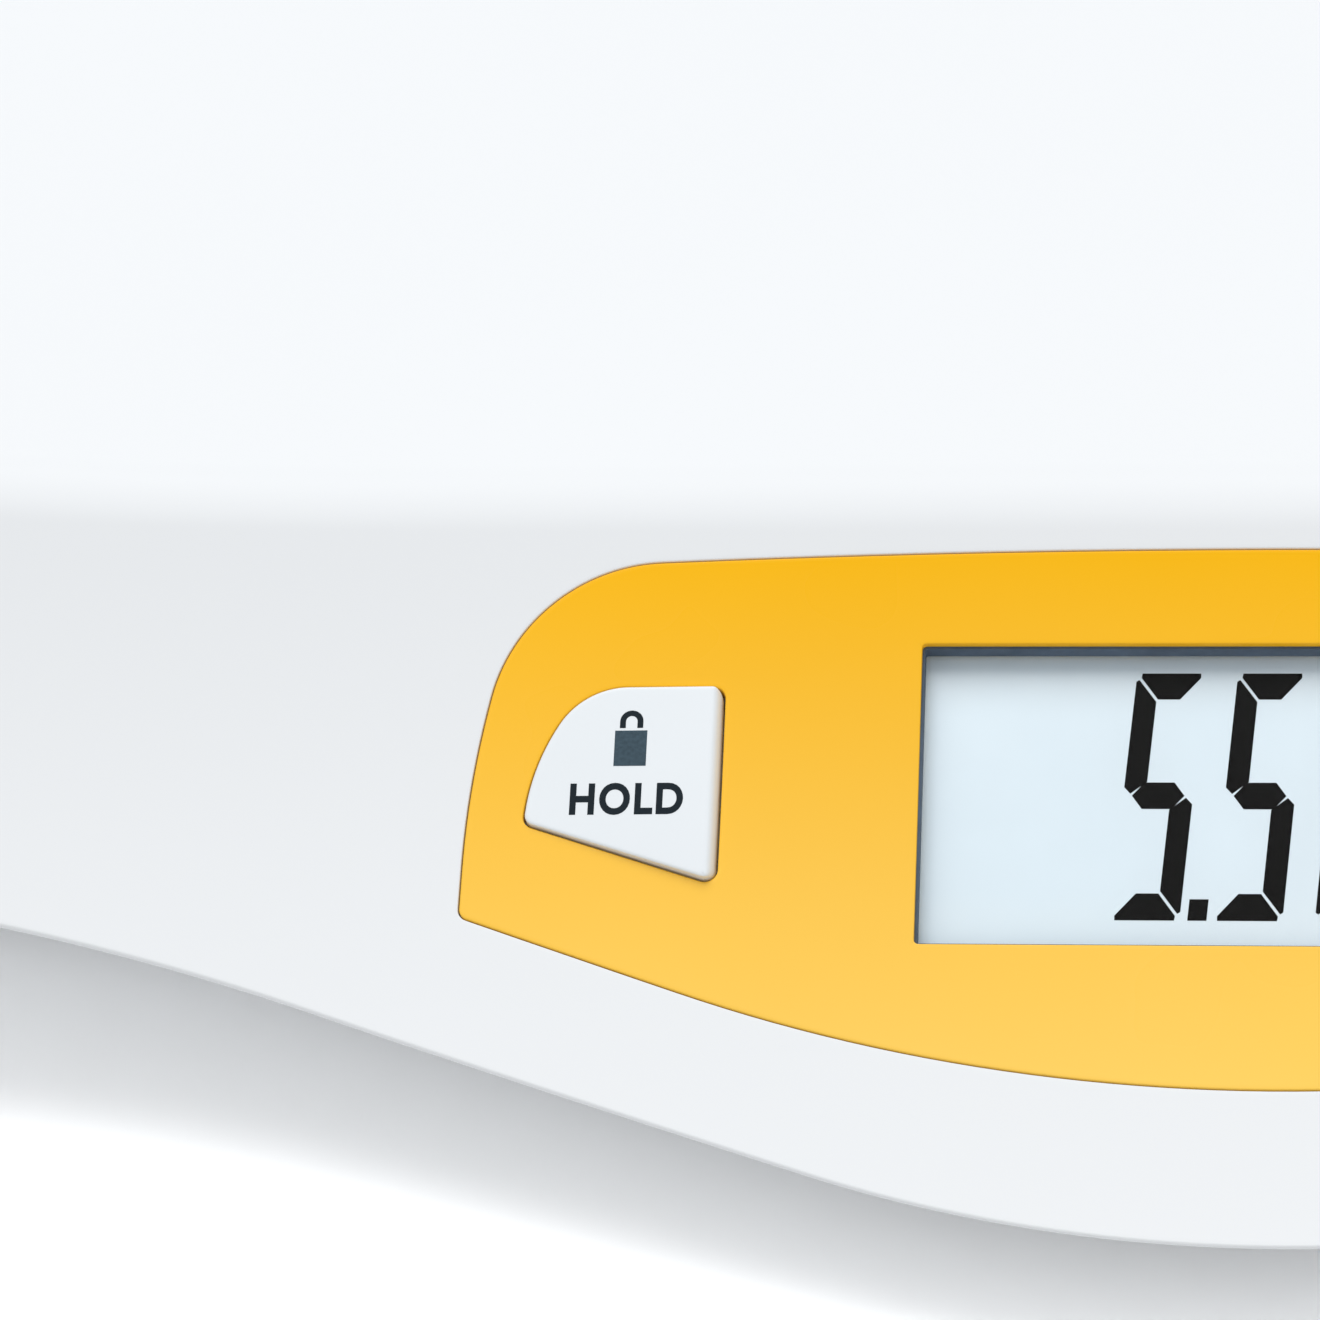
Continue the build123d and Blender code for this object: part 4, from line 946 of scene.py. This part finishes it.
class SCALE_OT_tray(bpy.types.Operator):
    """Moulds the white weighing tray with its rounded edge, the panel's recess and its ribs"""
    bl_idname = "baby_scale.tray"
    bl_label = "Tray"

    def execute(self, context):
        shape = TraySurface(context.scene)
        tray, panel = shape.tray, shape.panel
        top = half_sheet(shape, -tray.lip_chamfer, panel.gap + panel.edge_round + EASE, 0.0)
        loop = set_outward(top, boundary_loops(top)[0])
        loop = ring(top, loop, tray.lip_chamfer - tray.lip_round - EASE, shape.level())
        loop = ring(top, loop, EASE, shape.level())
        loop = rounded_rim(top, loop, tray.lip_round, 6, shape.level())
        loop = ring(top, loop, 0, shape.level(tray.wall, tray.lip_chamfer))
        ring(top, loop, -tray.lip_chamfer, shape.level(tray.wall))

        top.transform(shape.plane.inverted())
        floor = panel.thickness + panel.bond_gap
        loop = set_outward(top, boundary_loops(top)[-1])
        loop = ring(top, loop, EASE, shape.panel_level())
        loop = rounded_rim(top, loop, panel.edge_round, 4, shape.panel_level())
        loop = ring(top, loop, 0, shape.panel_level(floor))
        for grow, depth in ((-panel.ledge_width, floor),
                            (-panel.ledge_width, floor + panel.ledge_wall),
                            (panel.ledge_margin, floor + panel.ledge_wall)):
            loop = stepped(top, loop, shape.panel_level(depth), panel_half, panel, grow)
        top.transform(shape.plane)

        under = half_sheet(shape, -tray.lip_chamfer, panel.ledge_margin, tray.wall)
        bosses = [tube((side * x, y), tray.boss_radius, tray.boss_bore, tray.boss_foot,
                       shape.level(tray.wall / 2)) for x, y in BOSSES for side in (-1, 1)]
        whole = joined(shell("tray", top, under), *tray_ribs(shape), *bosses)
        gloss = moulded("tray_gloss_white", tray.body_colour, 0.3, clouds=9.0, shift=0.985,
                        grain=2200.0, depth=0.0000006, ripple=0.000004, specular=0.1)
        finished("weighing_tray", whole, gloss, "housing", "tray_white", "top_shell")
        return {"FINISHED"}


class SCALE_OT_control_panel(bpy.types.Operator):
    """Moulds the yellow control panel with its openings, the display's seat and the posts"""
    bl_idname = "baby_scale.control_panel"
    bl_label = "Control panel"

    def execute(self, context):
        shape = TraySurface(context.scene)
        panel, keys = shape.panel, context.scene.scale_keys
        edge = panel.edge_round + EASE
        rows = [shape.tray.apron_radius * sin(radians(turn)) for turn in range(-9, 10)]
        seat = (panel.seat_width, panel.seat_height, panel.seat_round)

        def sheet(depth, window_grow, *window):
            mesh = bmesh.new()
            panel_half(mesh, panel, -edge)
            rounded_half(mesh, *window, window_grow)
            key_loop(mesh, keys, keys.gap + edge)
            mirrored(mesh)
            bmesh.ops.triangle_fill(mesh, edges=mesh.edges[:], use_beauty=True,
                                    use_dissolve=False, normal=(0, 0, 1))
            cut(mesh, rows, 1)
            set_level(mesh.verts, shape.panel_level(depth))
            return mesh

        top = sheet(0.0, edge, panel.window_width, panel.window_height, panel.window_round)
        outline, window, *key_holes = boundary_loops(top)
        for hole in (outline, window, *key_holes):
            loop = ring(top, set_outward(top, hole), EASE, shape.panel_level())
            loop = rounded_rim(top, loop, panel.edge_round, 4, shape.panel_level())
            if hole is window:
                bottom = flat(-panel.window_depth)
                stepped(top, ring(top, loop, 0, bottom), bottom, rounded_half, *seat)
            else:
                loop = ring(top, loop, 0, shape.panel_level(panel.thickness))
                ring(top, loop, -edge, shape.panel_level(panel.thickness))
        posts = [tube((side * x, y), panel.post_radius, panel.post_bore, -panel.post_length,
                      flat(-panel.thickness / 2)) for x, y in POSTS for side in (-1, 1)]
        whole = joined(shell("control panel", top, sheet(panel.thickness, 0.0, *seat)), *posts)
        whole.transform(shape.plane)
        # the stretch of the slope over which the painted reflection fades into the painted shade
        low, high = (shape.plane @ Vector((0, v, 0)) for v in (panel.bottom, panel.painted_sheen_top))
        satin = panel_with_painted_sheen("panel_yellow_painted_sheen", panel, low.y, high.y)
        finished("control_fascia", whole, satin, "housing", "panel_yellow", "control_panel")
        return {"FINISHED"}


def key_cap(keys):
    """The right key: a face that leans outwards, rolled edges, a flange and a hollow inside."""
    ease = 0.25 * MM  # strip of true plane beside the rolled edge
    wall, face, core, flange, hollow = (
        points_of(key_loop, keys, grow)[:-1] for grow in (
            0, -keys.outer_roll, -keys.outer_roll - ease, keys.flange_grow, -keys.wall))
    for points, inset in ((face, 0), (core, ease)):
        for point in points:
            point.x = max(point.x, keys.inner + keys.inner_roll + inset)

    def crest(point):
        return keys.rise - (point.x - keys.inner) * tan(keys.tilt)

    mesh = bmesh.new()
    row = mesh.verts.layers.int.new("row")
    for i, point in enumerate(core):
        mesh.verts.new((point.x, point.y, crest(point)))[row] = i
    bmesh.ops.contextual_create(mesh, geom=mesh.verts[:])

    def drawn(loop, points, heights):
        verts, loop = extended(mesh, loop)
        for vert in verts:
            i = vert[row]
            vert.co = (points[i].x, points[i].y, heights[i])
        return loop

    loop = drawn(mesh.edges[:], face, [crest(point) for point in face])
    steps = 8
    for step in range(1, steps + 1):
        turn = step * pi / 2 / steps
        points = [near.lerp(far, sin(turn)) for near, far in zip(face, wall)]
        loop = drawn(loop, points, [
            crest(point) - keys.inner_drop * (far - near).length_squared
            / keys.inner_roll**2 * (1 - cos(turn))
            for point, near, far in zip(points, face, wall)])
    foot = -keys.flange_depth - keys.flange_thickness
    for points, height in ((wall, -keys.flange_depth), (flange, -keys.flange_depth),
                           (flange, foot), (hollow, foot), (hollow, -keys.ceiling_depth)):
        loop = drawn(loop, points, [height] * len(points))
    bmesh.ops.contextual_create(mesh, geom=loop)
    post = bmesh.new()
    bmesh.ops.create_cone(post, cap_ends=True, segments=40, radius1=keys.post_radius,
                          radius2=keys.post_radius, depth=keys.post_foot)
    bmesh.ops.translate(post, verts=post.verts[:], vec=(*STEM, -keys.post_foot / 2))
    return joined(mesh, post)


def lock_bow(keys):
    """The padlock's bow with its legs, round the middle of the padlock's body."""
    radius, width, leg, gap = 0.92 * MM, 0.62 * MM, 0.75 * MM, 0.29 * MM
    arch = bow(bmesh.new(), radius, width, 0, pi, keys.ink)
    legs = bmesh.new()
    for x in (-radius, radius):
        plate(legs, box_of(x, -leg, width, leg), keys.ink)
    whole = joined(arch, legs)
    bmesh.ops.translate(whole, verts=whole.verts[:],
                        vec=(0, keys.lock_height / 2 + gap + leg, 0))
    return whole


def power_sign(keys):
    """A ring that is open at its top, with a stroke in the opening."""
    radius, width, opening, stroke = 2.1 * MM, 0.6 * MM, radians(70), 2.7 * MM
    arc = bow(bmesh.new(), radius, width, (pi + opening) / 2, 2 * pi - opening, keys.ink)
    return joined(arc, plate(bmesh.new(), box_of(0, 0, width, stroke), keys.ink))


class SCALE_OT_keys(bpy.types.Operator):
    """Moulds both keys of the panel and prints their marks"""
    bl_idname = "baby_scale.keys"
    bl_label = "Keys"

    def execute(self, context):
        keys = context.scene.scale_keys
        plane = TraySurface(context.scene).plane
        satin = moulded("key_satin_grey", keys.body_colour, 0.3, clouds=40.0, shift=0.965,
                        grain=3000.0, depth=0.0000022)
        ink = printed_ink("key_print", keys.ink_colour)
        slate = printed_ink("key_print_slate", keys.slate_colour)
        for side, body in ((-1, "hold"), (1, "power")):
            cap = key_cap(keys)
            cap.transform(plane @ Matrix.Scale(side, 4, (1, 0, 0)))
            bmesh.ops.recalc_face_normals(cap, faces=cap.faces[:])
            finished(body + "_keycap", cap, satin, body, "key_grey", body + "_key")

        size = (keys.lock_width, keys.lock_height)
        text, thickness = keys.text_middle, 2 * keys.ink  # half of it inside the face
        for name, mark, paint, side, middle, level in (
                ("hold_word", word("HOLD", keys.text_width, keys.text_height, 0.034, thickness),
                 ink, -1, text, keys.text_level),
                ("hold_lock_body",
                 plate(bmesh.new(), box_of(0, -keys.lock_height / 2, *size), keys.ink),
                 slate, -1, keys.mark_middle, keys.lock_level),
                ("hold_lock_bow", lock_bow(keys), ink, -1, keys.mark_middle, keys.lock_level),
                ("power_word",
                 word("ON/OFF", keys.text_width, keys.long_text_height, 0.02, thickness),
                 ink, 1, text, keys.text_level),
                ("power_mark", power_sign(keys), ink, 1, keys.mark_middle, keys.power_level)):
            lean = Matrix.Rotation(side * keys.tilt, 4, "Y")
            crown = plane @ Matrix.Translation((side * keys.inner, 0, keys.rise)) @ lean
            shift = side * (middle - keys.inner) / cos(keys.tilt)
            mark.transform(crown @ Matrix.Translation((shift, level, 0)))
            bmesh.ops.recalc_face_normals(mark, faces=mark.faces[:])
            finished(name, mark, paint, name.split("_")[0], "key_grey")
        return {"FINISHED"}


SEGMENTS = {"0": "abcdef", "1": "bc", "2": "abged", "3": "abgcd", "4": "fgbc", "5": "afgcd",
            "6": "afgedc", "7": "abc", "8": "abcdefg", "9": "abcdfg"}
FLIPS = {"b": (1, 0), "c": (1, 1), "d": (0, 1), "e": (0, 1)}  # across and up, of a or f


def segment(name, sizes):
    """Corners of one segment in a digit that stands upright from the origin."""
    wide, tall = sizes.digit_width, sizes.digit_height
    bar, post, gap = sizes.bar_height, sizes.bar_width, sizes.bar_gap
    half, nip = tall / 2, sizes.bar_nip
    if name == "g":
        near, far = 0.75 * MM + gap / 2, 2.05 * MM  # its points and its shoulders, from the side
        return ((near, half), (far, half + bar / 2), (wide - far, half + bar / 2),
                (wide - near, half), (wide - far, half - bar / 2), (far, half - bar / 2))
    if name in "ad":
        corners = ((nip, tall - nip), (nip * 1.1, tall), (wide - nip * 1.1, tall),
                   (wide - nip, tall - nip), (wide - post - gap / 2, tall - bar),
                   (post + gap / 2, tall - bar))
    else:
        corners = ((0, tall - 1.9 * nip), (0.6 * nip, tall - 1.2 * nip - gap / 2),
                   (post, tall - bar - gap), (post, half + bar / 2 + 0.1 * MM),
                   (0.7 * MM, half + gap * 0.8), (0, half + 0.95 * MM))
    across, up = FLIPS.get(name, (0, 0))
    return tuple((wide - x if across else x, tall - y if up else y) for x, y in corners)


def display_marks(sizes):
    """The digits from the first one's lower left corner on, leaning, and the unit after them."""
    digits = bmesh.new()
    left = 0.0
    for sign in sizes.value:
        if sign == ".":
            size = sizes.point_size
            x = left - sizes.digit_pitch + sizes.digit_width + sizes.point_gap
            plate(digits, box_of(x + size / 2, 0, size, size * 1.2), sizes.bar_thickness)
        elif sign in SEGMENTS:
            for name in SEGMENTS[sign]:
                corners = [(left + x, y) for x, y in segment(name, sizes)]
                plate(digits, corners, sizes.bar_thickness)
            left += sizes.digit_pitch
        else:
            raise ValueError("the display shows digits and a decimal point only")
    lean = Matrix.Identity(4)
    lean[0][1] = tan(sizes.digit_slant)
    digits.transform(lean)
    unit = word("kg", sizes.unit_width, sizes.unit_height, 0.02, 2 * sizes.bar_thickness)
    bmesh.ops.translate(unit, verts=unit.verts[:],
                        vec=(left + sizes.unit_shift, sizes.unit_level, 0))
    return joined(digits, unit)


class SCALE_OT_display(bpy.types.Operator):
    """Finishes the display's window and glass, lines the window's wall with a dark band of painted
    shade, and sets the digits
    """
    bl_idname = "baby_scale.display"
    bl_label = "Display"

    def execute(self, context):
        display = context.scene.scale_display
        shape = TraySurface(context.scene)
        panel = shape.panel
        # a dark band of painted shade along the window's wall, made as a thin slate lining
        shade_lining = band(rounded_half, (-display.shade_lining_gap, -display.shade_lining_width), panel.window_width,
                    panel.window_height, panel.window_round)
        set_level(shade_lining.verts, flat(-panel.window_depth))
        raised(shade_lining, shade_lining.faces[:], flat(display.shade_lining_height - panel.window_depth))
        shade_lining.transform(shape.plane)
        bmesh.ops.recalc_face_normals(shade_lining, faces=shade_lining.faces[:])
        finished("window_painted_shade_lining", shade_lining, rubber("painted_shade_slate_rubber", display.shade_lining_colour),
                 "housing", "holder_black")
        dressed({clear_window("window_clear_gloss"): ["lcd_lens"],
                 display_face("display_pale_blue", display.face_colour): ["lcd_glass"]})
        marks = display_marks(display)
        marks.transform(shape.plane @ Matrix.Translation(
            (display.first_digit, display.digit_bottom, display.lift - display.glass_depth)))
        black = printed_ink("display_black", display.segment_colour, 0.5, 0.04)
        finished("display_digits", marks, black, "housing", "holder_black")
        return {"FINISHED"}


class SCALE_OT_housing(bpy.types.Operator):
    """Finishes the base, its feet, the battery door and the unit button"""
    bl_idname = "baby_scale.housing"
    bl_label = "Housing"

    def execute(self, context):
        feet = [f"{row}_{side}" for row in ("front", "back") for side in ("left", "right")]
        dressed({
            moulded("base_satin_white", (0.78, 0.80, 0.825), 0.36, clouds=11.0, shift=0.97,
                    grain=1700.0, depth=0.000006): ["base_shell", "battery_door"],
            moulded("button_satin_grey", (0.60, 0.63, 0.66), 0.34, clouds=60.0, grain=2400.0,
                    depth=0.000004): ["unit_button"],
            moulded("cup_satin_grey", (0.50, 0.53, 0.56), 0.42, clouds=50.0, grain=1800.0,
                    depth=0.000006): ["foot_cup_" + foot for foot in feet],
            rubber("pad_matt_rubber", (0.045, 0.047, 0.05)): ["foot_pad_" + foot for foot in feet],
        })
        return {"FINISHED"}


class SCALE_OT_inner_parts(bpy.types.Operator):
    """Finishes what lies inside: board, chip, switches, load cells, battery and screws"""
    bl_idname = "baby_scale.inner_parts"
    bl_label = "Inner parts"

    def execute(self, context):
        dressed({
            circuit_board("board_green_mask", (0.012, 0.12, 0.035)): ["main_board", "unit_board"],
            moulded("housing_black", (0.022, 0.022, 0.023), 0.45, clouds=80.0, shift=0.8,
                    grain=2600.0, depth=0.000006): [
                        "control_chip", "key_switches", "unit_switch", "lcd_holder",
                        "battery_snap"],
            moulded("stem_natural_white", (0.70, 0.69, 0.64), 0.4, clouds=120.0): [
                "hold_stem", "power_stem", "unit_stem"],
            metal("zinc_plated_steel", (0.62, 0.62, 0.64), 0.3): [
                "housing_screws", "board_screws", "unit_screws"],
            metal("brushed_spring_steel", (0.57, 0.57, 0.59), 0.28, (1, 14, 1), 260.0): [
                "load_cells"],
            moulded("gauge_amber_film", (0.58, 0.27, 0.05), 0.25, clouds=500.0, shift=0.75): [
                "strain_gauges"],
            moulded("rubber_grey_strip", (0.12, 0.12, 0.13), 0.6, clouds=300.0, shift=0.7): [
                "zebra_strips"],
            battery_paint("battery_printed_can", (0.02, 0.025, 0.04), (0.55, 0.27, 0.1), 0.3): [
                "battery"],
        })
        return {"FINISHED"}


# --- Stage -------------------------------------------------------------------------------------
def soft_box(name, place, width, depth, power):
    """A rectangular lamp that faces the origin."""
    light = bpy.data.lights.new(name, "AREA")
    light.shape = "RECTANGLE"
    light.size, light.size_y = width, depth
    light.energy = power
    lamp = bpy.data.objects.new(name, light)
    lamp.location = place
    lamp.rotation_euler = (-Vector(place)).to_track_quat("-Z", "Y").to_euler()
    bpy.context.scene.collection.objects.link(lamp)


def pale_floor(look):
    """Plain and matt; it shows paler than it lights, and evenly pale far from the scale."""
    material, nodes, shader = started("pale_floor")
    nodes.tree.nodes.remove(shader)
    cloud = nodes.ranged(nodes.noise(3.0))
    lit, shown = (
        nodes.blended(cloud, shaded(look.floor_colour, gain * 0.995),
                      shaded(look.floor_colour, gain)) for gain in (1.0, look.floor_gain))
    reach = nodes.add("VectorMath", {0: nodes.place()}, operation="LENGTH").outputs["Value"]
    far = nodes.ranged(reach, 0.0, 1.0, look.far_start, look.far_end)
    shown = nodes.blended(far, shown, shaded(look.floor_colour, look.floor_gain * 1.3))
    nodes.shows(nodes.add("BsdfDiffuse", {
        "Color": nodes.blended(nodes.seen_directly(), lit, shown)}), "Material Output")
    return material


class SCALE_OT_stage(bpy.types.Operator):
    """Sets the pale floor, the soft light and the camera"""
    bl_idname = "baby_scale.stage"
    bl_label = "Stage"

    def execute(self, context):
        scene = context.scene
        look = scene.scale_stage
        mesh = bmesh.new()
        bmesh.ops.create_grid(mesh, x_segments=1, y_segments=1, size=look.floor_size / 2)
        data = bpy.data.meshes.new("floor")
        mesh.to_mesh(data)
        mesh.free()
        data.materials.append(pale_floor(look))
        floor = bpy.data.objects.new("floor", data)
        scene.collection.objects.link(floor)

        scene.world = bpy.data.worlds.new("studio")
        scene.world.use_nodes = True
        nodes = Nodes(scene.world.node_tree)
        ambient = nodes.feed(nodes.tree.nodes["Background"],
                             {"Color": look.sky_colour, "Strength": look.sky_level})
        white = nodes.add("Background", {"Color": (1.0, 1.0, 1.0)})
        nodes.shows(nodes.mixed(nodes.seen_directly(), ambient, white), "World Output")

        soft_box("key_light", (-0.15, 0.85, 2.35), 2.2, 2.0, look.key_power)
        soft_box("front_fill", (0.3, -1.9, 1.3), 1.6, 1.2, look.fill_power)

        camera = bpy.data.cameras.new("camera")
        camera.sensor_width = 36.0
        camera.lens = look.camera_lens
        camera.clip_start = 0.01
        viewer = bpy.data.objects.new("camera", camera)
        ahead = Vector(look.camera_heading).normalized()
        up = Vector((1, 0, 0)).cross(ahead).normalized()
        turn = Matrix((ahead.cross(up), up, -ahead)).transposed()
        viewer.matrix_world = Matrix.Translation(look.camera_place) @ turn.to_4x4()
        scene.collection.objects.link(viewer)
        scene.camera = viewer
        scene.view_settings.view_transform = "Standard"
        return {"FINISHED"}


class VIEW3D_PT_baby_scale(bpy.types.Panel):
    """Lists what the baby scale is built from"""
    bl_idname = "VIEW3D_PT_baby_scale"
    bl_label = "Baby scale"
    bl_space_type = "VIEW_3D"
    bl_region_type = "UI"
    bl_category = "Baby scale"

    def draw(self, context):
        for operator in OPERATORS:
            self.layout.operator(operator.bl_idname)
        for name, group in GROUPS.items():
            column = self.layout.column(heading=name)
            for key in group.__annotations__:
                column.prop(getattr(context.scene, name), key)


GROUPS = {"scale_tray": TraySizes, "scale_panel": PanelSizes, "scale_keys": KeySizes,
          "scale_display": DisplaySizes, "scale_stage": StageLook}
OPERATORS = (SCALE_OT_stage, SCALE_OT_tray, SCALE_OT_control_panel, SCALE_OT_keys,
             SCALE_OT_display, SCALE_OT_housing, SCALE_OT_inner_parts)
CLASSES = (*GROUPS.values(), *OPERATORS, VIEW3D_PT_baby_scale)


def register():
    for item in CLASSES:
        bpy.utils.register_class(item)
    for name, group in GROUPS.items():
        setattr(bpy.types.Scene, name, bpy.props.PointerProperty(type=group))


def unregister():
    for name in GROUPS:
        delattr(bpy.types.Scene, name)
    for item in reversed(CLASSES):
        bpy.utils.unregister_class(item)


def main():
    register()
    bpy.ops.baby_scale.stage()
    bpy.ops.baby_scale.tray()
    bpy.ops.baby_scale.control_panel()
    bpy.ops.baby_scale.keys()
    bpy.ops.baby_scale.display()
    bpy.ops.baby_scale.housing()
    bpy.ops.baby_scale.inner_parts()


if __name__ == "__main__":
    main()
